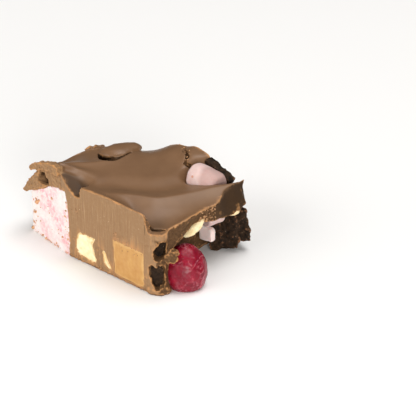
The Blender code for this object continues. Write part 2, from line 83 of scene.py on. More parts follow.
# Left of this edge, given as (y, x), the top falls away as a flatter panel
panel = {"edge": ((-16.0, -24.5), (-13.0, -20.1), (-10.7, -18.0), (-9.3, -15.5), (-7.4, -13.1),
                  (-3.4, -10.7), (0.5, -9.2), (6.0, -8.8), (12.0, -9.8), (20.0, -12.0)),
         "rise": 1.3, "fades": (16, 5), "slope": 0.135, "shoulder": 0.7, "run": 4.5}

# The roll of chocolate over the marshmallow: across, depth and height of its crest
roll = {"crest": ((-27.0, -15.4, 0.0), (-22.5, -16.2, 0.2), (-19.2, -16.7, 1.1), (-16.2, -16.8, 2.6),
                  (-14.4, -15.4, 2.2), (-12.4, -13.5, 1.2), (-10.0, -12.4, 0.8), (-6.0, -12.2, 0.5),
                  (-2.0, -12.8, 0.1)),
        "front": 1.2, "back": 1.9, "spread": 1.3}

# The chute that falls to the notch in the front edge: its far edge as (x, y), and its plane
chute = {"edge": ((-15.2, -25.0), (-13.4, -20.6), (-12.7, -19.3), (-11.9, -18.2), (-10.6, -17.0),
                  (-9.4, -16.2), (-7.6, -15.9), (-5.6, -16.6), (-4.7, -18.6), (-4.1, -21.5), (-3.5, -27.0)),
         "level": 19.16, "alongX": -0.80, "alongY": 0.163, "lowest": 21.4, "wall": 1.5}

# Soft swells and hollows: centre, half widths, turn in degrees, height, steepness of the sides
swells = (
    ((0.5, 20.0), (8.0, 8.0), 0.0, 2.4, 2),         # hump at the back
    ((9.0, 19.0), (5.5, 6.0), 0.0, 2.2, 4),         # plate beside the hump
    ((-12.5, 18.5), (7.0, 7.0), 0.0, -2.2, 2),      # the back falls to the left of the hump
    ((-13.5, -18.6), (3.4, 3.0), 0.0, 1.6, 2),      # bulge at the left end of the roll
    ((28.6, -8.0), (2.0, 7.0), 0.0, 0.9, 2),        # lip of the right edge
    ((-23.5, -10.5), (4.5, 6.0), 0.0, -1.5, 2),     # the panel dips where it meets the roll
    ((18.3, 17.5), (5.2, 6.0), -35.0, -8.0, 4),     # cavity that holds the small marshmallow
    ((13.5, 12.0), (3.6, 4.6), 0.0, -3.6, 4),       # its left end
)


def smoothStep(low, high, value):
    t = np.clip((value - low) / (high - low), 0.0, 1.0)
    return t * t * (3 - 2 * t)


def readProfile(profile, at):
    # a smooth line through the points, level beyond its ends
    places, values = (np.array(side, float) for side in zip(*profile))
    steps = np.diff(places)
    slopes = np.diff(values) / steps
    bends = np.concatenate(([0.0], (slopes[1:] + slopes[:-1]) / 2, [0.0]))
    at = np.clip(at, places[0], places[-1])
    index = np.clip(np.searchsorted(places, at) - 1, 0, len(steps) - 1)
    step, t = steps[index], (at - places[index]) / steps[index]
    ease = t * t * (3 - 2 * t)
    return (values[index] * (1 - ease) + values[index + 1] * ease
            + step * t * (1 - t) * ((1 - t) * bends[index] - t * bends[index + 1]))


def softPositive(value, soft):
    return (np.sqrt(value * value + soft * soft) + value) / 2


def rollHeight(x, y):
    across, depth, rise = zip(*roll["crest"])
    away = y - readProfile(tuple(zip(across, depth)), x)
    width = np.where(away < 0, roll["front"], roll["back"]) * roll["spread"]
    return readProfile(tuple(zip(across, rise)), x) * np.exp(-(away / width) ** 2)


def panelHeight(x, y):
    past = readProfile(panel["edge"], y) - x
    level = panel["rise"] * np.exp(np.minimum(past, 0) / panel["run"]) * smoothStep(*panel["fades"], y)
    return level - panel["slope"] * softPositive(past, panel["shoulder"])


def intoChute(x, y, height):
    behind = y - readProfile(chute["edge"], x)
    floor = np.maximum(chute["level"] + chute["alongX"] * x + chute["alongY"] * y, chute["lowest"])
    wall = 1 - np.exp(-np.maximum(behind, 0) / chute["wall"])
    return np.minimum(height, floor + (height - floor) * wall)


def topHeight(x, y):
    # height of the poured top over points of the floor
    (startX, startY), (runX, runY) = crest["start"], crest["run"]
    toCorner = (x - startX) * runY - (y - startY) * runX
    alongCrest = (x - startX) * runX + (y - startY) * runY
    toCorner = toCorner - readProfile(crest["bow"], alongCrest) * smoothStep(*crest["bowEnds"], toCorner)
    scoop = crest["scoopDepth"] * (1 - np.exp(-softPositive(toCorner, crest["fold"]) / crest["scoopLength"]))
    edgeRun = frontRim["run"] - frontRim["shorter"] * smoothStep(*frontRim["shortens"], x)
    atEdge, atStart = frontRim["atEdge"], frontRim["atStart"]
    behindEdge = atEdge + (1 - atEdge) * smoothStep(0, 1, (y - frontY) / edgeRun)
    pastRim = smoothStep(*frontRim["ends"], x)
    height = block["topZ"] - scoop * np.maximum(behindEdge, pastRim)
    valley = np.exp(-((toCorner - crest["valleyAt"]) / crest["valleyWidth"]) ** 2)
    height -= crest["valleyDepth"] * valley * smoothStep(*crest["valleyStarts"], alongCrest)
    rim = smoothStep(frontY + frontRim["width"], frontY, y) * smoothStep(*frontRim["starts"], x)
    rim = rim * (1 - pastRim)
    height += frontRim["rise"] * rim * (atStart + (1 - atStart) * smoothStep(*frontRim["grows"], x))
    height += readProfile(crest["level"], alongCrest) * np.exp(-(toCorner / crest["reach"]) ** 2)
    for centre, widths, turn, rise, steepness in swells:
        dx, dy = x - centre[0], y - centre[1]
        c, s = cos(radians(turn)), sin(radians(turn))
        along, across = (dx * c + dy * s) / widths[0], (dy * c - dx * s) / widths[1]
        height += rise * np.exp(-np.hypot(along, across) ** steepness)
    height += panelHeight(x, y) + rollHeight(x, y)
    height -= readProfile(crest["leftFall"], x)
    return intoChute(x, y, height)


# Planes that outlines are drawn on: each takes across, height and depth into the piece

def onFront(across, height, depth=0.0):
    return Vector((across, frontY + depth, height))


def onTurned(across, height, depth=0.0):
    return Vector((across, frontY - block["turn"] * (across - cutEndX) + depth, height))


def onRight(across, height, depth=0.0):
    return Vector((rightX - depth, across, height))


def onBack(across, height, depth=0.0):
    return Vector((across, backY - depth, height))


# Two upright planes that stand askew: where each starts, how it runs, and the way into the piece
slantPlane = {"start": (-27.5, 2.5, 0), "run": (0.783, 0.622, 0), "inward": (0.622, -0.783, 0)}
cornerPlane = {"start": (24.3, -20.5, 0), "run": (0.742, 0.670, 0), "inward": (-0.670, 0.742, 0)}


def onPlane(plane, across, height, depth):
    start, run, inward = (Vector(plane[key]) for key in ("start", "run", "inward"))
    return start + run * across + inward * depth + Vector((0, 0, height))


def onSlant(across, height, depth=0.0):
    return onPlane(slantPlane, across, height, depth)


def onFloor(across, height, depth=0.0):
    return Vector((across, height, depth))


def onCorner(across, height, depth=0.0):
    return onPlane(cornerPlane, across, height, depth)


# Uneven surfaces

def softNoise(points, grain, seed):
    # smooth values from -1 to 1, about one hill for each grain
    size = 32
    lattice = np.random.default_rng(seed).uniform(-1, 1, (size, size, size))
    at = np.asarray(points, float) / grain + 1000.0
    cell = np.floor(at).astype(int)
    part = at - cell
    part = part * part * (3 - 2 * part)
    total = np.zeros(len(at))
    for corner in np.ndindex(2, 2, 2):
        weight = np.ones(len(at))
        for axis in range(3):
            weight *= part[:, axis] if corner[axis] else 1 - part[:, axis]
        index = [(cell[:, axis] + corner[axis]) % size for axis in range(3)]
        total += weight * lattice[index[0], index[1], index[2]]
    return total


def roughNoise(points, grain, seed, layers=3):
    total = np.zeros(len(points))
    for layer in range(layers):
        total += softNoise(points, grain / 2.1 ** layer, seed + layer) / 1.9 ** layer
    return total


def wander(point, grain, seed=0.0):
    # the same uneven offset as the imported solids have
    at = point / grain + Vector((seed, 0, 0))
    shifts = (Vector((0, 0, 0)), Vector((31.7, 5.3, 0)), Vector((0, 17.9, 43.1)))
    return Vector([noise.noise(at + shift) for shift in shifts])


def roughen(mesh, size, grain, seed):
    for vert in mesh.verts:
        vert.co += wander(vert.co, grain, seed) * size


# Making and joining shapes

def makeObject(name, mesh):
    bmesh.ops.triangulate(mesh, faces=mesh.faces)
    bmesh.ops.recalc_face_normals(mesh, faces=mesh.faces)
    data = bpy.data.meshes.new(name)
    mesh.to_mesh(data)
    mesh.free()
    obj = bpy.data.objects.new(name, data)
    bpy.context.scene.collection.objects.link(obj)
    return obj


def withSteps(outline, step):
    points = []
    for start, end in zip(outline, outline[1:] + outline[:1]):
        start, end = Vector(start), Vector(end)
        count = max(1, round((end - start).length / step))
        points += [start.lerp(end, i / count) for i in range(count)]
    return points


def softOutline(outline, step=0.5, wobble=0.12, seed=0.0, rounds=2):
    # the outline with its corners eased and its edge made uneven
    points = withSteps(outline, 1.4)
    for _ in range(rounds):
        eased = []
        for start, end in zip(points, points[1:] + points[:1]):
            eased += [start.lerp(end, 0.22), start.lerp(end, 0.78)]
        points = eased
    points = withSteps([tuple(point) for point in points], step)
    moved = []
    for point in points:
        offset = wander(Vector((point.x, point.y, seed)), 0.9, seed) * wobble
        moved.append((point.x + offset.x, point.y + offset.y))
    return moved


def prism(outline, plane, depth, taper=1.0, start=0.0, lift=0.0, layers=1):
    # a flat outline on a plane, pushed into the piece; the far end shrinks by the taper
    mesh = bmesh.new()
    face = mesh.faces.new([mesh.verts.new(plane(u, v, start)) for u, v in outline])
    push = (plane(0, 0, depth) - plane(0, 0, start) + Vector((0, 0, lift))) / layers
    for layer in range(layers):
        grown = bmesh.ops.extrude_face_region(mesh, geom=[face])["geom"]
        if layer:
            bmesh.ops.delete(mesh, geom=[face], context="FACES_ONLY")
        far = [item for item in grown if isinstance(item, bmesh.types.BMVert)]
        face = [item for item in grown if isinstance(item, bmesh.types.BMFace)][0]
        bmesh.ops.translate(mesh, vec=push, verts=far)
        middle = sum((vert.co for vert in far), Vector()) / len(far)
        for vert in far:
            vert.co = middle + (vert.co - middle) * taper ** (1 / layers)
    return mesh


def placeMesh(mesh, centre, turns=(0, 0, 0), scale=(1, 1, 1)):
    turn = Matrix.Identity(3)
    for axis, angle in zip("XYZ", turns):
        turn = Matrix.Rotation(radians(angle), 3, axis) @ turn
    bmesh.ops.scale(mesh, vec=scale, verts=mesh.verts)
    bmesh.ops.rotate(mesh, matrix=turn, verts=mesh.verts)
    bmesh.ops.translate(mesh, vec=centre, verts=mesh.verts)
    return mesh


def pebble(centre, radii, turns, segments=48, rings=24):
    mesh = bmesh.new()
    bmesh.ops.create_uvsphere(mesh, u_segments=segments, v_segments=rings, radius=1)
    return placeMesh(mesh, centre, turns, radii)


def drum(centre, radius, length, turns, squash=1.0, segments=64, edge=0.28):
    # a short cylinder with soft edges, such as a small marshmallow
    mesh = bmesh.new()
    bmesh.ops.create_cone(mesh, cap_ends=True, segments=segments, radius1=radius,
                          radius2=radius, depth=length)
    rims = [side for side in mesh.edges if abs(side.verts[0].co.z - side.verts[1].co.z) < 0.01]
    bmesh.ops.bevel(mesh, geom=rims, offset=radius * edge, segments=6, profile=0.5,
                    affect="EDGES")
    return placeMesh(mesh, centre, turns, (1, squash, 1))


def chunk(size, centre, turns, cuts, wear, seed):
    # a broken biscuit lump: a box with its sides divided and pushed about
    mesh = bmesh.new()
    bmesh.ops.create_cube(mesh, size=1)
    bmesh.ops.subdivide_edges(mesh, edges=mesh.edges, cuts=cuts, use_grid_fill=True)
    for vert in mesh.verts:
        vert.co *= 1 - 0.25 * (vert.co.length - 0.5)
    bmesh.ops.scale(mesh, vec=size, verts=mesh.verts)
    roughen(mesh, wear, 2.6, seed)
    return placeMesh(mesh, centre, turns)


def applyModifiers(obj):
    graph = bpy.context.evaluated_depsgraph_get()
    data = bpy.data.meshes.new_from_object(obj.evaluated_get(graph))
    obj.modifiers.clear()
    obj.data = data


def combine(obj, others, operation):
    group = bpy.data.collections.new("group")
    bpy.context.scene.collection.children.link(group)
    for other in others:
        group.objects.link(other)
    modifier = obj.modifiers.new("combine", "BOOLEAN")
    modifier.operation = operation
    modifier.solver = "MANIFOLD"
    modifier.operand_type = "COLLECTION"
    modifier.collection = group
    bpy.context.view_layer.update()
    applyModifiers(obj)
    for other in list(others):
        bpy.data.objects.remove(other)
    bpy.data.collections.remove(group)


def fuse(obj, voxel):
    # one even skin over all the shapes, with edges eased by about a cell
    modifier = obj.modifiers.new("fuse", "REMESH")
    modifier.mode = "VOXEL"
    modifier.voxel_size = voxel
    bpy.context.view_layer.update()
    applyModifiers(obj)


def thinOut(obj, triangles):
    # fewer triangles where the surface is flat
    obj.data.calc_loop_triangles()
    share = triangles / max(1, len(obj.data.loop_triangles))
    if share < 1:
        modifier = obj.modifiers.new("thin", "DECIMATE")
        modifier.ratio = share
        bpy.context.view_layer.update()
        applyModifiers(obj)


def readPoints(data):
    points = np.empty(len(data.vertices) * 3)
    data.vertices.foreach_get("co", points)
    return points.reshape(-1, 3)


def readNormals(data):
    normals = np.empty(len(data.vertices) * 3)
    data.vertices.foreach_get("normal", normals)
    return normals.reshape(-1, 3)


def writePoints(data, points):
    data.vertices.foreach_set("co", points.ravel())
    data.update()


def writeMask(data, name, values):
    mask = data.attributes.new(name, "FLOAT", "POINT")
    mask.data.foreach_set("value", np.clip(values, 0, 1).astype(np.float32))


def standOut(data, passes):
    # how far each point stands out from its neighbours: positive on edges, negative in creases
    points, normals = readPoints(data), readNormals(data)
    ends = np.empty(len(data.edges) * 2, int)
    data.edges.foreach_get("vertices", ends)
    a, b = ends.reshape(-1, 2).T
    count = np.maximum(np.bincount(ends, minlength=len(points)), 1)
    smooth = points.copy()
    for _ in range(passes):
        total = np.zeros_like(points)
        for axis in range(3):
            total[:, axis] += np.bincount(a, smooth[b, axis], len(points))
            total[:, axis] += np.bincount(b, smooth[a, axis], len(points))
        smooth = total / count[:, None]
    return ((points - smooth) * normals).sum(axis=1)


# The caramel's lower front corner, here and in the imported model, says how far everything moves
caramelCorner = (0.0094, -0.020)   # in metres
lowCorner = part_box("caramel_block")[0]
cornerMove = (lowCorner.x - caramelCorner[0], lowCorner.y - caramelCorner[1], 0)
toFrame = Matrix.Translation(cornerMove) @ Matrix.Scale(0.001, 4)


def finishPiece(obj, material, nodes=()):
    obj.data.transform(toFrame)
    obj.data.materials.clear()
    obj.data.materials.append(material)
    obj.data.shade_smooth()
    obj.data.update()
    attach(obj, "root")
    if nodes:
        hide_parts(*nodes)
    return obj


# Nodes of the materials

def addNode(tree, kind, settings=(), **inputs):
    made = tree.nodes.new(kind)
    for name, value in dict(settings).items():
        setattr(made, name, value)
    for name, value in inputs.items():
        socket = made.inputs[int(name[1:])] if name[1:].isdigit() else made.inputs[name.replace("_", " ")]
        if isinstance(value, bpy.types.NodeSocket):
            tree.links.new(value, socket)
        else:
            socket.default_value = value
    return made


def mathNode(tree, operation, a, b=0.5, clamp=False):
    return addNode(tree, "ShaderNodeMath", {"operation": operation, "use_clamp": clamp},
                   _0=a, _1=b).outputs[0]


def mixColor(tree, factor, a, b):
    made = addNode(tree, "ShaderNodeMix", {"data_type": "RGBA"})
    for socket, value in ((made.inputs[0], factor), (made.inputs[6], a), (made.inputs[7], b)):
        if isinstance(value, bpy.types.NodeSocket):
            tree.links.new(value, socket)
        elif socket.type == "RGBA":
            socket.default_value = (*value, 1)
        else:
            socket.default_value = value
    return made.outputs[2]


def mixNumber(tree, factor, a, b):
    return addNode(tree, "ShaderNodeMix", {"data_type": "FLOAT"}, _0=factor, _2=a, _3=b).outputs[0]


def rampValue(tree, value, low, high):
    made = addNode(tree, "ShaderNodeMapRange", {"interpolation_type": "SMOOTHSTEP"},
                   _0=value, _1=low, _2=high)
    return made.outputs[0]


def millimetres(tree):
    place = addNode(tree, "ShaderNodeTexCoord").outputs["Object"]
    return addNode(tree, "ShaderNodeVectorMath", {"operation": "MULTIPLY"}, _0=place,
                   _1=(1000, 1000, 1000)).outputs[0]


def noiseValue(tree, vector, scale, detail=2.0, roughness=0.5):
    return addNode(tree, "ShaderNodeTexNoise", Vector=vector, Scale=scale, Detail=detail,
                   Roughness=roughness).outputs[0]


def maskValue(tree, name):
    return addNode(tree, "ShaderNodeAttribute", {"attribute_name": name}).outputs["Fac"]


def makeGroup(name, inputs, outputs):
    group = bpy.data.node_groups.new(name, "ShaderNodeTree")
    for label, value in inputs.items():
        socket = group.interface.new_socket(label, in_out="INPUT", socket_type="NodeSocketFloat")
        socket.default_value = value
    for label in outputs:
        group.interface.new_socket(label, in_out="OUTPUT", socket_type="NodeSocketFloat")
    return group, group.nodes.new("NodeGroupInput").outputs, group.nodes.new("NodeGroupOutput").inputs


def useGroup(tree, group, **inputs):
    return addNode(tree, "ShaderNodeGroup", {"node_tree": group}, **inputs).outputs


def mottleGroup():
    # slow light and dark patches
    group, given, gives = makeGroup("softMottle", {"Size": 4.0, "Contrast": 1.0}, ["Value"])
    scale = mathNode(group, "DIVIDE", 1.0, given["Size"])
    patches = noiseValue(group, millimetres(group), scale, 3.0, 0.55)
    centred = mathNode(group, "SUBTRACT", patches, 0.5)
    group.links.new(mathNode(group, "MULTIPLY", centred, given["Contrast"]), gives["Value"])
    return group


def grainGroup():
    # fine relief of a dense crumb
    group, given, gives = makeGroup("fineGrain", {"Size": 0.4, "Depth": 1.0}, ["Height"])
    scale = mathNode(group, "DIVIDE", 1.0, given["Size"])
    fine = noiseValue(group, millimetres(group), scale, 5.0, 0.65)
    group.links.new(mathNode(group, "MULTIPLY", fine, given["Depth"]), gives["Height"])
    return group


def speckGroup():
    # scattered small specks, each in its own cell
    group, given, gives = makeGroup("specks", {"Size": 0.8, "Share": 0.2, "Radius": 0.25}, ["Mask"])
    scale = mathNode(group, "DIVIDE", 1.0, given["Size"])
    cells = addNode(group, "ShaderNodeTexVoronoi", Vector=millimetres(group), Scale=scale)
    near = mathNode(group, "LESS_THAN", cells.outputs["Distance"], given["Radius"])
    pick = addNode(group, "ShaderNodeSeparateColor", Color=cells.outputs["Color"]).outputs[0]
    chosen = mathNode(group, "LESS_THAN", pick, given["Share"])
    group.links.new(mathNode(group, "MULTIPLY", near, chosen), gives["Mask"])
    return group


def streakGroup():
    # upright scores of a knife
    group, given, gives = makeGroup("knifeStreaks", {"Width": 0.35, "Length": 9.0}, ["Value"])
    across = mathNode(group, "DIVIDE", 1.0, given["Width"])
    up = mathNode(group, "DIVIDE", 1.0, given["Length"])
    scales = addNode(group, "ShaderNodeCombineXYZ", X=across, Y=0.0, Z=up).outputs[0]
    at = addNode(group, "ShaderNodeVectorMath", {"operation": "MULTIPLY"}, _0=millimetres(group),
                 _1=scales).outputs[0]
    group.links.new(noiseValue(group, at, 1.0, 4.0, 0.6), gives["Value"])
    return group


groups = {"mottle": mottleGroup(), "grain": grainGroup(), "specks": speckGroup(),
          "streaks": streakGroup()}


def startMaterial(name, color, roughness):
    material = bpy.data.materials.new(name)
    material.use_nodes = True
    tree = material.node_tree
    shader = tree.nodes["Principled BSDF"]
    shader.inputs["Base Color"].default_value = (*color, 1)
    shader.inputs["Roughness"].default_value = roughness
    return material, tree, shader


def joinBump(tree, shader, height, distance):
    bump = addNode(tree, "ShaderNodeBump", Height=height, Distance=distance, Strength=1.0)
    tree.links.new(bump.outputs[0], shader.inputs["Normal"])


def mottled(tree, size, contrast):
    # from 0 in the dark patches to 1 in the pale ones
    mottle = useGroup(tree, groups["mottle"], Size=size, Contrast=contrast)["Value"]
    return mathNode(tree, "ADD", mottle, 0.5, True)


def grainHeight(tree, size):
    return useGroup(tree, groups["grain"], Size=size, Depth=1.0)["Height"]


def scattered(tree, size, share, radius):
    return useGroup(tree, groups["specks"], Size=size, Share=share, Radius=radius)["Mask"]


def partly(tree, mask, share):
    return mathNode(tree, "MULTIPLY", mask, share)


# edge: pale orange of standing-out edges, partly wear, partly painted highlight; deep: painted shade colour
chocolate = {
    "top": (0.205, 0.110, 0.054), "topDark": (0.158, 0.081, 0.038),
    "cut": (0.310, 0.175, 0.082), "cutPale": (0.540, 0.365, 0.205), "cutDark": (0.200, 0.095, 0.035),
    "broken": (0.175, 0.092, 0.042), "brokenDark": (0.045, 0.023, 0.011),
    "crust": (0.500, 0.300, 0.150), "crustDark": (0.140, 0.070, 0.032),
    "edge": (0.560, 0.275, 0.105), "speck": (0.72, 0.52, 0.32), "deep": (0.044, 0.024, 0.012),
    "topRough": 0.40, "cutRough": 0.66, "brokenRough": 0.60, "specular": 0.33, "dullSpecular": 0.08,
    "bump": 0.00012,
}


def cutColor(tree, streak, fine):
    # the knife-cut faces: pale and dark scores in patches, and pale specks
    pale, dark = rampValue(tree, streak, 0.52, 0.74), rampValue(tree, streak, 0.46, 0.30)
    patches = rampValue(tree, useGroup(tree, groups["mottle"], Size=3.4, Contrast=1.0)["Value"], -0.10, 0.14)
    paleness = mathNode(tree, "MULTIPLY", pale, mixNumber(tree, patches, 0.14, 0.60))
    color = mixColor(tree, paleness, chocolate["cut"], chocolate["cutPale"])
    color = mixColor(tree, mathNode(tree, "MULTIPLY", fine, 0.55, True), color, chocolate["cutPale"])
    color = mixColor(tree, partly(tree, dark, 0.45), color, chocolate["cutDark"])
    return mixColor(tree, partly(tree, scattered(tree, 0.9, 0.05, 0.16), 0.7), color, chocolate["speck"])


def chocolateMaterial():
    material, tree, shader = startMaterial("milk_chocolate", chocolate["top"], chocolate["topRough"])
    cut, broken, wear = (maskValue(tree, name) for name in ("cut", "broken", "wear"))
    fine = useGroup(tree, groups["mottle"], Size=0.9, Contrast=1.2)["Value"]
    streak = useGroup(tree, groups["streaks"], Width=0.42, Length=11.0)["Value"]
    color = mixColor(tree, mottled(tree, 7.0, 1.6), chocolate["topDark"], chocolate["top"])
    color = mixColor(tree, cut, color, cutColor(tree, streak, fine))
    crumb = mathNode(tree, "ADD", fine, 0.5, True)
    inside = mixColor(tree, crumb, chocolate["brokenDark"], chocolate["broken"])
    bark = mixColor(tree, crumb, chocolate["crustDark"], chocolate["crust"])
    color = mixColor(tree, broken, color, mixColor(tree, maskValue(tree, "crust"), inside, bark))
    # painted shade: the shade mask darkens the chute, crevice, gap, hollow, scoop bottom and slab end
    deep = partly(tree, maskValue(tree, "shade"), 0.96)
    color = mixColor(tree, deep, color, chocolate["deep"])
    # edges that stand out go pale orange: partly edge wear, partly a painted highlight where they catch light
    color = mixColor(tree, wear, color, chocolate["edge"])
    tree.links.new(color, shader.inputs["Base Color"])
    rough = mixNumber(tree, cut, chocolate["topRough"], chocolate["cutRough"])
    rough = mixNumber(tree, broken, rough, chocolate["brokenRough"])
    tree.links.new(rough, shader.inputs["Roughness"])
    rougher = mathNode(tree, "MAXIMUM", cut, broken)
    height = mathNode(tree, "MULTIPLY", grainHeight(tree, 0.35), mixNumber(tree, rougher, 0.12, 1.0))
    scores = partly(tree, mathNode(tree, "MULTIPLY", streak, cut), 1.5)
    joinBump(tree, shader, mathNode(tree, "ADD", height, scores), chocolate["bump"])
    dull = mathNode(tree, "MAXIMUM", deep, broken)
    specular = mixNumber(tree, dull, chocolate["specular"], chocolate["dullSpecular"])
    tree.links.new(specular, shader.inputs["Specular IOR Level"])
    return material


def letLightIn(shader, weight, radius, scale):
    shader.inputs["Subsurface Weight"].default_value = weight
    shader.inputs["Subsurface Radius"].default_value = radius
    shader.inputs["Subsurface Scale"].default_value = scale


mallow = {"white": (0.90, 0.785, 0.760), "pink": (0.86, 0.40, 0.44), "stain": (0.70, 0.30, 0.15),
          "rough": 0.75, "bump": 0.00018}


def marshmallowMaterial():
    material, tree, shader = startMaterial("marshmallow", mallow["white"], mallow["rough"])
    streak, stain = maskValue(tree, "streak"), maskValue(tree, "stain")
    patches = noiseValue(tree, millimetres(tree), 0.75, 4.0, 0.6)
    pinkness = mathNode(tree, "MULTIPLY", streak, rampValue(tree, patches, 0.34, 0.66))
    color = mixColor(tree, pinkness, mallow["white"], mallow["pink"])
    # the stain mask: real stains, and a painted contact shadow along the foot
    color = mixColor(tree, stain, color, mallow["stain"])
    tree.links.new(color, shader.inputs["Base Color"])
    joinBump(tree, shader, grainHeight(tree, 0.5), mallow["bump"])
    letLightIn(shader, 0.25, (1.0, 0.6, 0.5), 0.0015)
    return material


# pale is painted light on the small marshmallow in the hollow's shade; the darker end colour is painted shade
pinkMallow = {"dark": (0.60, 0.405, 0.38), "light": (0.70, 0.54, 0.50), "pale": (0.92, 0.75, 0.70),
              "shadedEnd": (0.36, 0.20, 0.17), "stain": (0.55, 0.24, 0.14), "rough": 0.7, "bump": 0.00006}


def pinkMallowMaterial():
    material, tree, shader = startMaterial("pink_marshmallow", pinkMallow["light"], pinkMallow["rough"])
    color = mixColor(tree, mottled(tree, 2.2, 1.5), pinkMallow["dark"], pinkMallow["light"])
    # painted light on the small marshmallow that lies in the shade of the hollow on the right
    color = mixColor(tree, maskValue(tree, "pale"), color, pinkMallow["pale"])
    # painted shade on the pressed-down right end of the small marshmallow on top
    color = mixColor(tree, partly(tree, maskValue(tree, "shadedEnd"), 0.6), color, pinkMallow["shadedEnd"])
    stain = partly(tree, scattered(tree, 3.0, 0.10, 0.14), 0.8)
    color = mixColor(tree, stain, color, pinkMallow["stain"])
    tree.links.new(color, shader.inputs["Base Color"])
    joinBump(tree, shader, grainHeight(tree, 0.4), pinkMallow["bump"])
    letLightIn(shader, 0.2, (1.0, 0.55, 0.45), 0.0012)
    return material


nut = {"cream": (0.96, 0.89, 0.62), "gold": (0.90, 0.74, 0.40), "rim": (0.74, 0.46, 0.16),
       "worn": (0.97, 0.88, 0.64), "rough": 0.5, "bump": 0.00008}


def peanutMaterial():
    material, tree, shader = startMaterial("peanut", nut["gold"], nut["rough"])
    color = mixColor(tree, mottled(tree, 1.6, 2.2), nut["cream"], nut["gold"])
    color = mixColor(tree, maskValue(tree, "rim"), color, nut["rim"])
    color = mixColor(tree, partly(tree, maskValue(tree, "wear"), 0.5), color, nut["worn"])
    tree.links.new(color, shader.inputs["Base Color"])
    joinBump(tree, shader, grainHeight(tree, 0.5), nut["bump"])
    return material


caramel = {"dark": (0.49, 0.225, 0.052), "light": (0.60, 0.335, 0.102), "rim": (0.68, 0.43, 0.17),
           "rough": 0.42, "bump": 0.00005}


def caramelMaterial():
    material, tree, shader = startMaterial("caramel", caramel["light"], caramel["rough"])
    streak = useGroup(tree, groups["streaks"], Width=0.5, Length=6.0)["Value"]
    mottle = useGroup(tree, groups["mottle"], Size=2.0, Contrast=1.6)["Value"]
    lightness = mathNode(tree, "ADD", mottle, streak, True)
    color = mixColor(tree, lightness, caramel["dark"], caramel["light"])
    color = mixColor(tree, partly(tree, maskValue(tree, "rim"), 0.55), color, caramel["rim"])
    tree.links.new(color, shader.inputs["Base Color"])
    joinBump(tree, shader, mathNode(tree, "ADD", grainHeight(tree, 0.4), streak), caramel["bump"])
    return material


biscuit = {"dark": (0.008, 0.005, 0.003), "light": (0.042, 0.022, 0.011), "worn": (0.19, 0.090, 0.045),
           "glint": (0.36, 0.25, 0.17), "rough": 0.62, "glintRough": 0.25, "specular": 0.12, "bump": 0.00025}


def biscuitMaterial():
    material, tree, shader = startMaterial("biscuit", biscuit["light"], biscuit["rough"])
    color = mixColor(tree, mottled(tree, 1.4, 2.4), biscuit["dark"], biscuit["light"])
    color = mixColor(tree, maskValue(tree, "wear"), color, biscuit["worn"])
    glints = scattered(tree, 0.7, 0.14, 0.2)
    color = mixColor(tree, partly(tree, glints, 0.4), color, biscuit["glint"])
    tree.links.new(color, shader.inputs["Base Color"])
    rough = mixNumber(tree, glints, biscuit["rough"], biscuit["glintRough"])
    tree.links.new(rough, shader.inputs["Roughness"])
    shader.inputs["Specular IOR Level"].default_value = biscuit["specular"]
    joinBump(tree, shader, grainHeight(tree, 0.5), biscuit["bump"])
    return material


jellyRed = {"dark": (0.135, 0.003, 0.011), "light": (0.325, 0.008, 0.030), "haze": (0.82, 0.31, 0.37),
            "groove": (0.13, 0.004, 0.014), "rough": 0.27, "hazeRough": 0.6, "specular": 0.28,
            "coat": 0.04, "coatRough": 0.15, "bump": 0.00008}


def jellyMaterial():
    material, tree, shader = startMaterial("raspberry_jelly", jellyRed["light"], jellyRed["rough"])
    color = mixColor(tree, mottled(tree, 2.4, 1.8), jellyRed["dark"], jellyRed["light"])
    fine = noiseValue(tree, millimetres(tree), 1.4, 3.0, 0.6)
    haze = mathNode(tree, "MULTIPLY", maskValue(tree, "scratch"), rampValue(tree, fine, 0.42, 0.60))
    color = mixColor(tree, partly(tree, haze, 0.42), color, jellyRed["haze"])
    # painted shade in the grooves between the beads
    color = mixColor(tree, partly(tree, maskValue(tree, "groove"), 0.35), color, jellyRed["groove"])
    tree.links.new(color, shader.inputs["Base Color"])
    rough = mixNumber(tree, haze, jellyRed["rough"], jellyRed["hazeRough"])
    tree.links.new(rough, shader.inputs["Roughness"])
    joinBump(tree, shader, grainHeight(tree, 0.6), jellyRed["bump"])
    letLightIn(shader, 0.45, (1.0, 0.08, 0.12), 0.003)
    shader.inputs["Specular IOR Level"].default_value = jellyRed["specular"]
    shader.inputs["Coat Weight"].default_value = jellyRed["coat"]
    shader.inputs["Coat Roughness"].default_value = jellyRed["coatRough"]
    return material


crumbColors = {"dark": (0.30, 0.145, 0.062), "light": (0.56, 0.31, 0.145),
               "meltedDark": (0.46, 0.20, 0.085), "meltedLight": (0.80, 0.46, 0.25),
               "rough": 0.6, "bump": 0.0001}


def crumbMaterial(name, dark, light):
    material, tree, shader = startMaterial(name, dark, crumbColors["rough"])
    tree.links.new(mixColor(tree, mottled(tree, 0.9, 2.5), dark, light), shader.inputs["Base Color"])
    joinBump(tree, shader, grainHeight(tree, 0.2), crumbColors["bump"])
    return material


finishes = {
    "milk_chocolate": chocolateMaterial(), "marshmallow": marshmallowMaterial(),
    "pink_marshmallow": pinkMallowMaterial(), "peanut": peanutMaterial(),
    "caramel": caramelMaterial(), "biscuit": biscuitMaterial(),
    "raspberry_jelly": jellyMaterial(),
    "crumb": crumbMaterial("chocolate_crumb", crumbColors["dark"], crumbColors["light"]),
    "meltedCrumb": crumbMaterial("melted_crumb", crumbColors["meltedDark"], crumbColors["meltedLight"]),
}
print("materials made")


# Outlines of the fillings, drawn on the face where they show

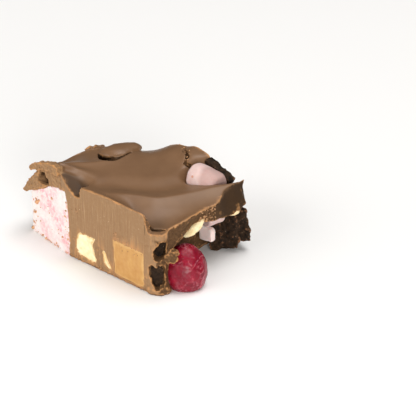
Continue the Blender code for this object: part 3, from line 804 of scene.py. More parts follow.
fronts = {
    "peanutCut": ((-7.5, 4.0), (-6.8, 7.2), (-5.5, 9.6), (-4.2, 9.9), (-2.6, 10.4), (-0.5, 9.8),
                  (1.9, 10.0), (1.2, 8.8), (0.3, 7.4), (1.0, 6.0), (1.4, 4.4), (2.2, 2.6),
                  (1.6, 1.6), (-0.1, 1.3), (-3.6, 1.5), (-6.0, 2.3)),
    "peanutSliver": ((4.7, 6.6), (5.2, 7.3), (5.8, 7.2), (6.5, 5.4), (7.4, 3.6), (8.7, 2.2),
                     (8.3, 1.6), (7.3, 1.5), (6.3, 2.0), (5.5, 2.9), (5.0, 4.8)),
    "caramelBlock": ((9.4, 12.6), (15.5, 12.4), (22.2, 12.3), (22.0, 0.9), (15.8, 0.9), (9.7, 1.2)),
    "biscuitUpper": ((4.6, 17.2), (5.7, 16.2), (5.5, 14.4), (4.9, 12.4), (3.4, 10.9), (2.0, 11.8),
                     (1.4, 13.8), (2.6, 15.8)),
    "biscuitLower": ((0.7, 8.6), (2.4, 9.3), (4.2, 9.3), (4.6, 6.6), (4.4, 3.8), (3.6, 1.4),
                     (2.2, 1.2), (1.0, 3.4)),
    "marshmallowLarge": ((cutEndX - 0.2, -0.5), (-9.9, 7.3), (-9.9, 14.0), (-10.2, 18.0),
                         (-11.0, 21.4), (-15.5, 20.9), (-20.0, 19.8), (-24.0, 17.6), (-28.6, 15.4),
                         (-31.6, 13.7), (-30.9, 11.4), (-31.4, 6.1), (-31.9, -0.5)),
    "marshmallowMiniSide": ((20.1, 6.5), (25.1, 6.9), (25.1, 10.2), (24.5, 11.0), (20.1, 11.6)),
    "marshmallowSlant": ((3.0, 5.0), (12.0, 4.2), (13.4, 9.0), (12.4, 14.5), (4.2, 14.0), (2.0, 9.0)),
    "peanutSlant": ((17.0, 8.6), (19.4, 7.0), (23.0, 7.4), (25.0, 9.4), (24.0, 12.4), (20.4, 13.6),
                    (17.8, 11.6)),
    "caramelBack": ((-3.0, 2.6), (6.6, 3.4), (6.0, 13.0), (-3.6, 12.2)),
    "peanutBack": ((9.0, 8.0), (11.0, 6.2), (15.0, 6.4), (18.2, 8.6), (18.4, 11.0), (16.2, 12.8),
                   (12.0, 12.6), (9.4, 10.8)),
    "biscuitBack": ((-2.0, 17.6), (2.0, 16.4), (7.6, 17.2), (8.6, 20.4), (6.2, 22.8), (0.4, 22.6),
                    (-2.8, 20.6)),
}

# Each filling: face, depth, taper, how far it stands out (set back if negative), rounds that ease
# its corners, material slot, node
fillings = {
    "marshmallowLarge": (onTurned, 12.5, 0.97, 0.0, 1, "marshmallow", "marshmallow_large"),
    "peanutCut": (onFront, 6.0, 0.7, 0.0, 1, "peanut", "peanut_cut"),
    "peanutSliver": (onFront, 4.5, 0.7, 0.0, 2, "peanut", "peanut_sliver"),
    "caramelBlock": (onFront, 5.8, 0.94, 0.0, 1, "caramel", "caramel_block"),
    "biscuitUpper": (onCorner, 4.8, 0.8, -1.5, 1, "biscuit", "biscuit_upper"),
    "biscuitLower": (onCorner, 3.0, 0.8, -0.6, 1, "biscuit", "biscuit_lower"),
    "marshmallowSlant": (onSlant, 4.0, 0.85, 1.2, 2, "pink_marshmallow", "marshmallow_slant"),
    "peanutSlant": (onSlant, 5.0, 0.7, 1.6, 2, "peanut", "peanut_slant"),
    "caramelBack": (onBack, 9.0, 0.95, 0.0, 1, "caramel", "caramel_back"),
    "peanutBack": (onBack, 5.0, 0.7, 0.0, 2, "peanut", "peanut_back"),
    "biscuitBack": (onBack, 5.0, 0.85, 0.0, 2, "biscuit", "biscuit_back"),
}


def fillingShape(name, tighter=0.0, start=None):
    # the filling as a prism; a pocket for it is tighter, and starts outside the face
    face, depth, taper, proud, rounds, _, _ = fillings[name]
    outline = softOutline(fronts[name], 0.45, 0.14, len(name), rounds)
    if tighter:
        middle = sum((Vector(point) for point in outline), Vector((0, 0))) / len(outline)
        reach = max((Vector(point) - middle).length for point in outline)
        share = 1 - tighter / reach
        outline = [tuple(middle + (Vector(point) - middle) * share) for point in outline]
    start = -proud if start is None else start
    return prism(outline, face, depth - tighter, taper, start, layers=8)


# Rounded pieces and hollows

gapPlace = {"centre": (24.7, -17.2, 19.6), "radii": (3.2, 0.6, 1.5), "turns": (0, 6, 41)}
burrPlace = {"centre": (-23.7, 4.2, 24.6), "radii": (3.3, 0.8, 0.6), "turns": (0, 0, 68)}

# Paths of x, y, z, half width and half height
curl = ((-19.8, 2.8, 24.3, 0.5, 0.3), (-18.4, 3.0, 24.8, 2.0, 1.2), (-16.5, 3.7, 25.1, 3.6, 1.8),
        (-15.0, 5.2, 25.2, 4.3, 2.0), (-14.2, 7.5, 25.3, 4.0, 1.9), (-13.5, 10.4, 25.3, 3.1, 1.6),
        (-12.6, 12.7, 25.0, 2.1, 1.3), (-12.0, 13.8, 24.9, 0.6, 0.4))
crevice = ((-18.8, 1.7, 24.6, 0.5, 1.6), (-16.4, 0.6, 25.0, 1.4, 2.8), (-14.0, -0.4, 25.4, 2.2, 3.6),
           (-12.0, -0.8, 25.6, 2.5, 3.8), (-10.4, 0.1, 25.8, 1.8, 2.8), (-9.7, 2.2, 26.0, 0.9, 1.3),
           (-9.9, 5.4, 26.0, 0.5, 0.9), (-11.0, 9.4, 25.5, 0.5, 0.8), (-12.8, 13.4, 24.4, 0.4, 0.8))
crack = ((1.6, 19.0, 27.9, 0.30, 0.8), (3.6, 16.9, 27.8, 0.70, 1.6), (5.2, 16.1, 27.6, 0.40, 1.4),
         (7.0, 14.5, 27.1, 0.70, 1.8), (7.5, 13.5, 26.6, 0.35, 1.4), (8.2, 12.6, 26.0, 0.50, 1.8),
         (10.0, 13.2, 25.2, 0.50, 1.8))

peanutRightPlace = {"centre": (26.6, -3.8, 16.5), "radii": (2.6, 4.3, 1.0), "turns": (27, 0, 0)}
peanutTipPlace = {"centre": (26.6, 13.4, 15.4), "radii": (2.4, 2.2, 1.0), "turns": (10, 0, 0)}
miniTopPlace = {"centre": (16.8, 12.4, 22.6), "radius": 4.8, "length": 9.4, "turns": (0, 90, 4)}
stripPlace = {"centre": (23.2, 8.6, 14.0), "radius": 2.3, "length": 6.2, "turns": (90, 0, -8)}
biscuitRight = {"size": (12.6, 6.0, 13.0), "centre": (22.0, 16.4, 6.9), "turns": (0, -8, 47),
                "cuts": 23, "wear": 0.8, "seed": 3.0}
biscuitTop = {"size": (11.5, 3.2, 8.0), "centre": (15.6, 18.7, 21.4), "turns": (0, 24, 0),
              "cuts": 3, "wear": 0.35, "seed": 5.0}
jelly = {"at": (28.2, -8.9), "radius": 7.1, "height": 13.2, "foot": 0.66, "narrows": 0.18}


# The chocolate

# Seen from above
footprint = (
    (cutEndX, frontY), (leftX + 1.7, frontY - block["turn"] * (leftX + 1.7 - cutEndX)),
    (leftX + 1.3, -4.0), (-27.5, 2.5), (-20.5, 8.8), (-12.5, 15.2), (-5.5, backY), (8.0, backY),
    (22.5, backY), (25.8, 19.6), (27.8, 18.0), (28.4, 15.0), (rightX, 8.0), (28.3, 0.0), (rightX, -8.0),
    (27.6, -15.0), (28.2, -16.8), (28.0, -18.4), (27.1, -19.5), (25.4, frontY),
)

# The hollow under the slab, seen from the right
slabUnderside = (
    (-14.6, -2.0), (-14.6, 8.0), (-13.7, 13.6), (-9.5, 16.1), (-2.0, 17.9), (4.3, 16.0),
    (10.8, 15.0), (14.5, 15.3), (18.5, 17.2), (25.0, 19.0), (25.0, -2.0),
)

# The flakes over the marshmallow, and how each is pushed: depth, start and lift
flakeOutlines = (
    ((-30.1, 23.1), (-29.4, 24.2), (-27.2, 25.3), (-23.5, 26.8), (-20.0, 27.9), (-16.4, 28.7), (-14.6, 28.8),
     (-13.5, 28.3), (-13.1, 27.2), (-13.1, 25.9), (-14.5, 25.5), (-16.1, 26.1), (-19.0, 25.6), (-22.6, 24.6),
     (-26.2, 23.3), (-29.0, 22.2), (-30.0, 22.3)),
    ((-23.6, 24.9), (-20.2, 25.7), (-17.3, 26.1), (-13.6, 25.9), (-12.7, 25.0), (-11.7, 23.6),
     (-11.3, 22.6), (-13.1, 22.7), (-15.4, 22.1), (-18.3, 21.2), (-20.2, 20.3), (-21.5, 21.3),
     (-22.5, 22.5)),
    ((-23.4, 24.1), (-24.4, 23.8), (-27.7, 21.5), (-31.0, 18.7), (-33.7, 15.6), (-35.4, 13.2), (-35.0, 12.6),
     (-34.0, 13.0), (-32.7, 13.8), (-30.2, 14.9), (-27.0, 16.4), (-23.9, 17.8), (-21.1, 19.3), (-21.6, 21.6)),
)
flakePushes = ((2.6, -1.1, -0.5), (3.0, 0.1, 0.0), (8.0, -0.6, 0.6))

# The hollow between the flakes, with the middle and the reach of its shade
hollow = {"depth": 5.2, "middle": (-23.2, 21.3), "reach": (3.0, 2.1),
          "outline": ((-24.4, 24.0), (-22.6, 23.6), (-21.5, 22.3), (-20.2, 21.1), (-19.9, 20.2),
                      (-22.0, 19.5), (-24.4, 19.1), (-26.4, 19.3), (-26.5, 20.3), (-25.6, 22.0))}

# In the front corner: two holes, each with depth and taper, and a lump
cornerHoles = (
    (((4.9, 17.7), (6.0, 17.4), (6.1, 15.8), (5.5, 14.8), (5.7, 12.8), (4.8, 11.1), (3.3, 10.5),
      (2.1, 10.9), (1.5, 12.5), (1.6, 14.1), (2.7, 15.8), (3.9, 17.5)), 2.6, 0.75),
    (((0.1, 9.5), (1.3, 9.9), (2.4, 9.3), (3.0, 10.0), (4.5, 9.7), (5.3, 8.8), (5.0, 6.3), (5.2, 3.9),
      (4.9, 2.4), (4.0, 1.7), (2.8, 2.2), (1.3, 3.8), (0.3, 5.7), (0.0, 7.8)), 1.1, 0.85),
)
cornerLump = ((5.0, 13.2), (6.2, 13.9), (7.0, 14.6), (7.6, 13.9), (8.6, 14.2), (8.9, 13.1), (8.1, 12.6),
              (8.5, 11.3), (7.9, 10.1), (6.8, 10.5), (6.0, 9.8), (5.0, 10.7), (4.8, 12.2))

# The far end of the slab, right of fromX: how far it leans back and over which places, and how
# much less its upper edge wanders
slabEnd = {"fromX": 24, "lean": 2.8, "leanZ": (15.5, 24.5), "leanY": (4.5, 11.5), "leanEnds": (20.5, 17.5),
           "calmer": 0.8, "calmY": (0.5, 4.0), "calmZ": (17.0, 20.0)}

# The hollow that broke out under the slab: how deep, and where its back wall stands forward
recessShape = {"start": -6.0, "depth": 12.0, "inner": (rightX - 2, rightX - 12.0), "forward": 5.5,
               "behindJelly": (-3.0, -8.0), "shelfY": (8.5, 5.5), "shelfZ": (2.5, 6.0)}


def pouredTop():
    width, depth = rightX - leftX + 12, backY - frontY + 8
    mesh = bmesh.new()
    bmesh.ops.create_grid(mesh, x_segments=round(width / block["topCell"]),
                          y_segments=round(depth / block["topCell"]), size=0.5)
    bmesh.ops.scale(mesh, vec=(width, depth, 1), verts=mesh.verts)
    bmesh.ops.translate(mesh, vec=((rightX + leftX) / 2, 0, 0), verts=mesh.verts)
    top = mesh.verts[:]
    bmesh.ops.extrude_face_region(mesh, geom=mesh.faces[:])
    heights = topHeight(np.array([vert.co.x for vert in mesh.verts]),
                        np.array([vert.co.y for vert in mesh.verts]))
    top = set(top)
    for vert, height in zip(mesh.verts, heights):
        vert.co.z = height if vert in top else -3.0
    return makeObject("pouredTop", mesh)


def onKnifeCut(point):
    onFrontCut = point.y < frontY + 0.05 - block["turn"] * min(point.x - cutEndX, 0)
    return onFrontCut or point.y > backY - 0.05


def brokenWalls():
    outline = [tuple(point) for point in withSteps(footprint, block["wallStep"])]
    mesh = prism(outline, onFloor, 34.0, layers=38)
    for vert in mesh.verts:
        if not onKnifeCut(vert.co):
            move = wander(vert.co, 5.0) + wander(vert.co, 2.1) * 0.4
            calm = smoothStep(*slabEnd["calmY"], vert.co.y) * smoothStep(*slabEnd["calmZ"], vert.co.z)
            move.x *= 1 - slabEnd["calmer"] * float(calm * (vert.co.x > slabEnd["fromX"]))
            vert.co.x += move.x * block["wander"]
            vert.co.y += move.y * block["wander"]
        if vert.co.x > slabEnd["fromX"]:
            lean = smoothStep(*slabEnd["leanZ"], vert.co.z) * smoothStep(*slabEnd["leanY"], vert.co.y)
            vert.co.x -= slabEnd["lean"] * float(lean * smoothStep(*slabEnd["leanEnds"], vert.co.y))
    return makeObject("chocolateBlock", mesh)


def recess():
    mesh = prism(slabUnderside, onRight, recessShape["depth"], start=recessShape["start"])
    bmesh.ops.subdivide_edges(mesh, edges=mesh.edges, cuts=15, use_grid_fill=True)
    for vert in mesh.verts:
        inner = smoothStep(*recessShape["inner"], vert.co.x)
        behindJelly = smoothStep(*recessShape["behindJelly"], vert.co.y)
        shelf = smoothStep(*recessShape["shelfY"], vert.co.y) * smoothStep(*recessShape["shelfZ"], vert.co.z)
        vert.co.x += inner * recessShape["forward"] * max(behindJelly, shelf)
    roughen(mesh, 0.7, 3.0, 7.0)
    return makeObject("recess", mesh)


def flakes():
    made = []
    for index, (outline, (depth, start, lift)) in enumerate(zip(flakeOutlines, flakePushes)):
        edge = softOutline(outline, 0.6, 0.3, index + 1.0, 1)
        mesh = prism(edge, onTurned, depth, 0.88, start, lift, 12)
        roughen(mesh, 0.35, 1.6, 11.0 + index)
        made.append(makeObject("flake", mesh))
    return made


def alongPath(path, steps):
    # the path's rows at even steps, on a smooth line
    table = np.array(path, float)
    gaps = np.linalg.norm(np.diff(table[:, :3], axis=0), axis=1)
    run = np.concatenate(([0.0], np.cumsum(gaps)))
    at = np.linspace(0, run[-1], steps + 1)
    return np.stack([readProfile(tuple(zip(run, column)), at) for column in table.T], 1)


def rope(name, path, steps=44, around=36, rough=0.0, seed=0.0):
    # a skin of ovals along a path
    rows = alongPath(path, steps)
    mesh = bmesh.new()
    rings = []
    for index, (x, y, z, wide, high) in enumerate(rows):
        ahead = Vector(rows[min(index + 1, steps)][:3]) - Vector(rows[max(index - 1, 0)][:3])
        side = ahead.cross(Vector((0, 0, 1))).normalized()
        up = side.cross(ahead).normalized()
        ring = []
        for turn in range(around):
            angle = 2 * np.pi * turn / around
            place = Vector((x, y, z)) + side * cos(angle) * wide + up * sin(angle) * high
            ring.append(mesh.verts.new(place))
        rings.append(ring)
    for first, second in zip(rings, rings[1:]):
        for i in range(around):
            j = (i + 1) % around
            mesh.faces.new((first[i], first[j], second[j], second[i]))
    mesh.faces.new(rings[0][::-1])
    mesh.faces.new(rings[-1])
    if rough:
        roughen(mesh, rough, 1.0, seed)
    return makeObject(name, mesh)


def burrShape():
    # the ragged lip beside the curl, on the left border
    mesh = pebble(**burrPlace)
    roughen(mesh, 0.5, 1.1, 13.0)
    return makeObject("burr", mesh)


def columnHoles():
    # what broke out round the two biscuits in the front corner
    made = []
    for index, (outline, depth, taper) in enumerate(cornerHoles):
        edge = softOutline(outline, 0.5, 0.3, index + 6.0, 1)
        mesh = prism(edge, onCorner, depth, taper, -3.0, layers=12)
        roughen(mesh, 0.3, 1.2, 17.0 + index)
        made.append(makeObject("cornerHole", mesh))
    return made


def footShape():
    # the rounded foot of the front corner
    mesh = pebble(onCorner(3.2, 1.2, 1.0), (3.6, 2.3, 2.6), (0, 0, 42))
    roughen(mesh, 0.4, 1.8, 19.0)
    return makeObject("foot", mesh)


def lumpShape():
    # a lump that stands out beside the jelly
    mesh = prism(softOutline(cornerLump, 0.5, 0.4, 9.0, 1), onCorner, 2.6, 0.9, -0.4, layers=8)
    roughen(mesh, 0.8, 1.4, 21.0)
    return makeObject("lump", mesh)


def hollowShape():
    # the dark gap between the flakes on the left
    outline = softOutline(hollow["outline"], 0.5, 0.15, 4.0, 1)
    return makeObject("hollow", prism(outline, onTurned, hollow["depth"], 0.8, -3.0, layers=6))


pocketFit = {"tighter": 0.12, "start": -3.0}   # so that the chocolate grips each filling


def pockets():
    made = [makeObject("pocket", fillingShape(name, **pocketFit)) for name in fillings]
    made.append(makeObject("pocket", miniTop()))
    made.append(makeObject("pocket", pebble(**peanutRightPlace)))
    made.append(makeObject("pocket", pebble(**peanutTipPlace)))
    return made


def chocolateBlock():
    obj = brokenWalls()
    combine(obj, [pouredTop()], "INTERSECT")
    combine(obj, [footShape()], "UNION")
    combine(obj, [recess(), makeObject("gap", pebble(**gapPlace)),
                  rope("crevice", crevice, rough=0.15, seed=2.0),
                  rope("crack", crack, rough=0.25, seed=4.0)], "DIFFERENCE")
    combine(obj, columnHoles(), "DIFFERENCE")
    combine(obj, pockets(), "DIFFERENCE")
    combine(obj, [*flakes(), rope("curl", curl, rough=0.07, seed=6.0), burrShape(), lumpShape()], "UNION")
    combine(obj, [hollowShape()], "DIFFERENCE")
    fuse(obj, block["voxel"])
    print("chocolate fused,", len(obj.data.polygons), "faces")
    data = obj.data
    points, normals = readPoints(data), readNormals(data)
    writePoints(data, chocolateRelief(points, normals, chocolateMasks(points, normals)))
    thinOut(obj, block["triangles"])
    data = obj.data
    points, normals = readPoints(data), readNormals(data)
    masks = chocolateMasks(points, normals)
    # wear: pale edge colour on edges that stand out, partly edge wear and partly a painted highlight
    edges = standOut(data, 3)
    uneven = 0.5 + 0.5 * softNoise(points, 1.1, 71)
    wear = smoothStep(*skin["wornEdge"], edges) * (0.3 + 0.7 * uneven) * (points[:, 2] > 0.4)
    wear *= (1 - masks["smooth"]) * (1 - 0.4 * masks["slabEnd"]) * (1 - 0.8 * masks["inGaps"])
    for name in ("cut", "broken", "crust"):
        writeMask(data, name, masks[name])
    writeMask(data, "wear", wear)
    # painted shade, also over the end of the slab, which faces away from the light
    writeMask(data, "shade", np.maximum(darkPlaces["all"] * masks["shade"], masks["slabEnd"]))
    clingingCrumbs(points, wear)
    return finishPiece(obj, finishes["milk_chocolate"], ["chocolate_block"])


def clingingCrumbs(points, wear):
    # small grains that hold on to the broken edges, to the foot and to the slab's right side
    draw = np.random.default_rng(17)
    onEdges = np.flatnonzero((wear > 0.45) & (points[:, 2] > 1.0))
    atFoot = np.flatnonzero((points[:, 2] < 0.6) & (points[:, 2] > 0.1))
    places, sizes = [], []
    x, y, z = points.T
    onSlab = np.flatnonzero((x > 26.6) & (y > -2.2) & (y < 4.4) & (z > 16.6) & (z < 22.0))
    # where, how many, smallest and largest
    kinds = ((onEdges, 260, 0.06, 0.20), (atFoot, 220, 0.08, 0.26), (onSlab, 90, 0.12, 0.42))
    for where, count, low, high in kinds:
        for index in draw.choice(where, min(count, len(where)), replace=False):
            places.append(points[index] + draw.normal(size=3) * 0.05)
            sizes.append(draw.uniform(low, high))
    scatterCrumbs("edgeCrumbs", places, sizes, 18, finishes["crumb"])


# Which faces are poured, cut or hidden: each pair is where that begins and where it is full, as a
# distance, a place or a part of the normal
bands = {"top": (1.1, 0.5), "topLevel": (0.15, 0.5), "cut": (0.9, 0.45), "cutUpright": (0.5, 0.8),
         "under": (0.5, 0.25), "topFromX": (-25.8, -25.0), "cutFromX": cutEndX - 3.0,
         "corner": (1.6, 1.0), "cornerZ": (17.2, 18.0), "cornerX": 24.0, "cornerY": -13.5,
         "flakesToX": (-12.5, -13.1), "flakesDeep": (1.6, 0.9)}

# The pale bark on the flakes and on the left border
barkPlace = {"toX": (-12.4, -12.9), "fromZ": (11.0, 13.0), "deep": (8.0, 5.0),
             "borderZ": (20.0, 22.0), "borderX": (-22.0, -24.5)}

# Painted shade: the chute, the bottom of the scoop, the crevice and the gap, the hollow and the end
# of the slab are darkened in the colour where shade falls. Each pair is where the shade begins and
# where it is full, and single numbers with the name of a place say how dark it is.
darkPlaces = {"all": 0.82,
              "chuteWall": (2.4, 0.0), "chuteFromX": (-16.6, -15.0), "chuteToX": (-4.2, -5.4),
              "scoopAt": (23.6, -15.4), "scoopReach": 9.0, "scoop": 0.6,
              "gapInward": 2.2, "gapWide": 1.0, "gapLong": 3.4, "gapFromZ": 17.8,
              "crevice": 0.9, "below": 0.25,
              "hollow": 1.2, "hollowEdge": (0.2, 0.6), "hollowDeep": (0.2, 0.9),
              "slabEndY": (0.5, 8.5), "slabEndX": (24.0, 25.5), "slabEndZ": (14.0, 15.4)}


def curledMask(x, y, z):
    # 1 over the upper side of the curl
    curled = np.zeros(len(x))
    for atX, atY, atZ, wide, high in alongPath(curl, 14):
        near = smoothStep(wide + 0.8, wide + 0.3, np.hypot(x - atX, y - atY))
        curled = np.maximum(curled, near * smoothStep(atZ - 0.6 * high - 0.3, atZ - 0.6 * high, z))
    return curled


def darkMasks(x, y, z, top, behindFace, inward):
    # painted shade in the colour, and the part of it that lies in the crevice or the gap
    dark = darkPlaces
    behind = y - readProfile(chute["edge"], x)
    shade = smoothStep(*dark["chuteWall"], behind) * smoothStep(*dark["chuteFromX"], x)
    shade *= smoothStep(*dark["chuteToX"], x)
    shade *= top
    fromScoop = (x - dark["scoopAt"][0]) ** 2 + (y - dark["scoopAt"][1]) ** 2
    shade = np.maximum(shade, dark["scoop"] * top * np.exp(-fromScoop / dark["scoopReach"]))
    inGaps = np.zeros(len(x))
    for atX, atY, _, wide, _ in alongPath(crevice, 14):
        inGaps = np.maximum(inGaps, np.hypot(x - atX, y - atY) < wide + 0.3)
    gapX, gapY, _ = gapPlace["centre"]
    beside = (np.abs(inward - dark["gapInward"]) < dark["gapWide"]) & (z > dark["gapFromZ"])
    inGaps = np.maximum(inGaps, beside & (np.hypot(x - gapX, y - gapY) < dark["gapLong"]))
    inGaps = inGaps * (z < topHeight(x, y) - dark["below"])
    across = (x - hollow["middle"][0]) / hollow["reach"][0]
    up = (z - hollow["middle"][1]) / hollow["reach"][1]
    inHollow = np.exp(-(across ** 2 + up ** 2)) * smoothStep(*dark["hollowDeep"], behindFace)
    inHollow = dark["hollow"] * smoothStep(*dark["hollowEdge"], inHollow)
    return np.maximum(shade, np.maximum(dark["crevice"] * inGaps, inHollow)), inGaps


def chocolateMasks(points, normals):
    x, y, z = points.T
    overTop = np.abs(z - topHeight(x, y))
    top = smoothStep(*bands["top"], overTop) * smoothStep(*bands["topLevel"], normals[:, 2])
    curled = curledMask(x, y, z)
    top = np.maximum(top, curled * (normals[:, 2] > -0.3))
    behindFace = y - (frontY - block["turn"] * (x - cutEndX))
    onFlakes = smoothStep(*bands["flakesToX"], x) * smoothStep(*bands["flakesDeep"], behindFace)
    top *= (1 - onFlakes) * smoothStep(*bands["topFromX"], x)
    front = smoothStep(*bands["cut"], np.abs(y - frontY)) * smoothStep(*bands["cutUpright"], -normals[:, 1])
    front *= x > bands["cutFromX"]
    back = smoothStep(*bands["cut"], np.abs(y - backY)) * smoothStep(*bands["cutUpright"], normals[:, 1])
    under = smoothStep(*bands["under"], z)
    (startX, startY, _), (inX, inY, _) = cornerPlane["start"], cornerPlane["inward"]
    inward = (x - startX) * inX + (y - startY) * inY
    corner = smoothStep(*bands["corner"], np.abs(inward)) * smoothStep(*bands["cornerZ"], z)
    corner *= (x > bands["cornerX"]) * (y < bands["cornerY"])
    cut = np.maximum(np.maximum(front, back), corner * (1 - top)) * (1 - under)
    broken = (1 - np.maximum(top, cut)) * (1 - under)
    crust = broken * smoothStep(*barkPlace["toX"], x) * smoothStep(*barkPlace["fromZ"], z)
    crust *= smoothStep(*barkPlace["deep"], behindFace)
    border = broken * smoothStep(*barkPlace["borderZ"], z) * smoothStep(*barkPlace["borderX"], x)
    crust = np.maximum(crust, border)
    inside = (behindFace > 1.0) & (x < rightX - 1.5) & (y < backY - 1.0) & (x > -23.5)
    smooth = top * inside * smoothStep(1.0, 1.8, y - frontY)
    smooth = np.maximum(smooth * (1 - curled), curled * smoothStep(*bands["topLevel"], normals[:, 2]))
    shade, inGaps = darkMasks(x, y, z, top, behindFace, inward)
    # the end of the slab: calmer relief, fewer worn edges, and its colour darkened with painted shade
    end = broken * smoothStep(*darkPlaces["slabEndY"], y) * smoothStep(*darkPlaces["slabEndX"], x)
    end *= smoothStep(*darkPlaces["slabEndZ"], z)
    return {"top": top, "cut": cut, "under": under, "broken": broken, "crust": crust, "smooth": smooth,
            "shade": shade, "slabEnd": end, "inGaps": inGaps}


# How far in mm each kind of skin pushes the surface of the chocolate, how much calmer the end of the slab is,
# and how far an edge stands out where its pale colour (edge wear and painted highlight) starts and is full
skin = {"crumbly": 0.15, "fine": 0.05, "bark": 0.17, "slow": 0.03, "scores": 0.055, "torn": 0.20,
        "burr": (0.20, 0.26), "burrOut": 0.7, "burrUp": 0.3, "calmerEnd": 0.75, "wornEdge": (0.028, 0.095)}


def chocolateRelief(points, normals, masks):
    x, y, z = points.T
    crumbly = skin["crumbly"] * roughNoise(points, 1.8, 5, 4)
    crumbly += skin["fine"] * roughNoise(points, 0.6, 6, 2)
    bark = skin["bark"] * roughNoise(points * (0.8, 1, 1.2), 1.0, 7, 3)
    slow = skin["slow"] * roughNoise(points, 6.0, 9, 2)
    scores = softNoise(points * (1, 0, 0.06), 0.42, 21) + 0.6 * softNoise(points * (1, 0, 0.1), 0.22, 22)
    scored = 0.15 + 0.85 * smoothStep(-0.2, 0.4, softNoise(points * (1, 0, 0.8), 5.0, 23))
    torn = smoothStep(0.15, 0.6, softNoise(points, 3.2, 24)) * smoothStep(11, 8, z)
    torn = skin["torn"] * torn * (roughNoise(points, 0.9, 25, 3) - 0.4)
    broken = masks["broken"] - masks["crust"]
    push = broken * crumbly + masks["crust"] * bark + masks["top"] * slow
    push *= 1 - skin["calmerEnd"] * masks["slabEnd"]
    push += masks["cut"] * (skin["scores"] * scores * scored + torn)
    # the burr that the knife drew along the upper edge of the front
    edge = smoothStep(0.7, 0.1, np.abs(y - frontY)) * smoothStep(0.9, 0.2, np.abs(z - topHeight(x, y)))
    burr = edge * (x > cutEndX) * (skin["burr"][0] + skin["burr"][1] * softNoise(points, 0.8, 31))
    points = points + normals * (push * (1 - masks["under"]))[:, None]
    points[:, 1] -= burr * skin["burrOut"]
    points[:, 2] += burr * skin["burrUp"]
    points[:, 2] = np.where(points[:, 2] < 0.3, 0.0, points[:, 2])
    return points


# The fillings

# How far an edge has to stand out to be worn and to be fully worn, for a slot or for one piece
wornEdges = {"peanut": (0.03, 0.12), "biscuit": (0.07, 0.20), "biscuitChunkRight": (0.035, 0.13)}
triangles = {"marshmallowLarge": 60000, "cut": 24000, "round": 40000}


def finishFilling(name, obj, slot, node):
    data = obj.data
    points, edges = readPoints(data), standOut(data, 4)
    if slot in wornEdges:
        writeMask(data, "wear", smoothStep(*wornEdges.get(name, wornEdges[slot]), edges))
    if slot in ("peanut", "caramel"):
        rim = smoothStep(0.02, 0.08, edges) * (0.5 + 0.5 * softNoise(points, 1.3, 46))
        if name in fronts and fillings[name][0] is onFront:
            away = fromOutline(name, points) + 0.5 * softNoise(points, 1.2, 48)
            rim = np.maximum(rim, smoothStep(1.1, 0.1, away))
        toasted = 0.3 + 0.25 * softNoise(points, 2.0, 47) if name in ("peanutRight", "peanutTip") else 0.0
        writeMask(data, "rim", np.maximum(rim, toasted))
    if slot == "pink_marshmallow":
        # painted shade that darkens the pressed-down right end of the small marshmallow on top
        x, _, z = (points - miniTopPlace["centre"]).T
        shadedEnd = smoothStep(0.6, 2.2, x + 0.45 * z + 0.5 * softNoise(points, 2.0, 49))
        writeMask(data, "shadedEnd", shadedEnd * (name == "marshmallowMiniTop"))
        # painted light on the small marshmallow that lies in the shade of the hollow
        writeMask(data, "pale", np.full(len(points), float(name == "marshmallowMiniSide")))
    if name == "marshmallowLarge":
        marshmallowMasks(data, points)
    return finishPiece(obj, finishes[slot], [node])


def fromOutline(name, points):
    # distance from the filling's outline on the front, in mm
    outline = np.array([tuple(point) for point in withSteps(fronts[name], 0.5)])
    return np.min([np.hypot(points[:, 0] - u, points[:, 2] - v) for u, v in outline], axis=0)


def marshmallowMasks(data, points):
    # the pink streak falls from the upper left to the lower right of the face
    x, _, z = points.T
    along = (x + 24.6) * 0.78 - (z - 15.8) * 0.62
    across = (x + 24.6) * 0.62 + (z - 15.8) * 0.78
    bend = 2.2 * softNoise(np.stack([along, 0 * x, 0 * x], 1), 5.0, 41)
    streak = np.exp(-((across + bend) / 2.4) ** 2) * (1.1 + 0.5 * softNoise(points, 1.6, 42))
    side = 0.75 * smoothStep(-0.2, 0.6, softNoise(points, 2.8, 43))
    writeMask(data, "streak", np.maximum(streak, side))
    # stain along the border with the chocolate, and a painted contact shadow along the foot
    border = np.maximum(smoothStep(-11.4, -10.3, x), smoothStep(1.2, 0.2, z))
    stain = border * smoothStep(-0.05, 0.5, softNoise(points * (1, 1, 0.6), 1.1, 44))
    blob = np.exp(-(np.hypot(x + 27.7, z - 11.5) / 1.1) ** 2)
    blob *= smoothStep(-0.5, 0.3, softNoise(points, 0.7, 45))
    writeMask(data, "stain", 0.8 * np.maximum(stain, blob))


reliefs = {   # grain, depth and cell in mm for each kind
    "marshmallow": (1.1, 0.16, 0.24), "pink_marshmallow": (1.8, 0.10, 0.26),
    "peanut": (1.2, 0.14, 0.20), "caramel": (2.2, 0.07, 0.22), "biscuit": (1.5, 0.30, 0.20),
}


def cutFillings():
    for name, (*_, slot, node) in fillings.items():
        grain, relief, voxel = reliefs[slot]
        obj = makeObject(name, fillingShape(name))
        fuse(obj, voxel)
        data = obj.data
        points, normals = readPoints(data), readNormals(data)
        if slot == "biscuit":
            points += normals * (relief * roughNoise(points, grain, len(name), 4) - 0.15)[:, None]
        else:
            points += normals * (relief * roughNoise(points, grain, len(name), 3))[:, None]
        points[:, 2] = np.maximum(points[:, 2], 0.02)
        writePoints(data, points)
        thinOut(obj, triangles.get(name, triangles["cut"]))
        finishFilling(name, obj, slot, node)
        print(name, len(obj.data.polygons), "faces")


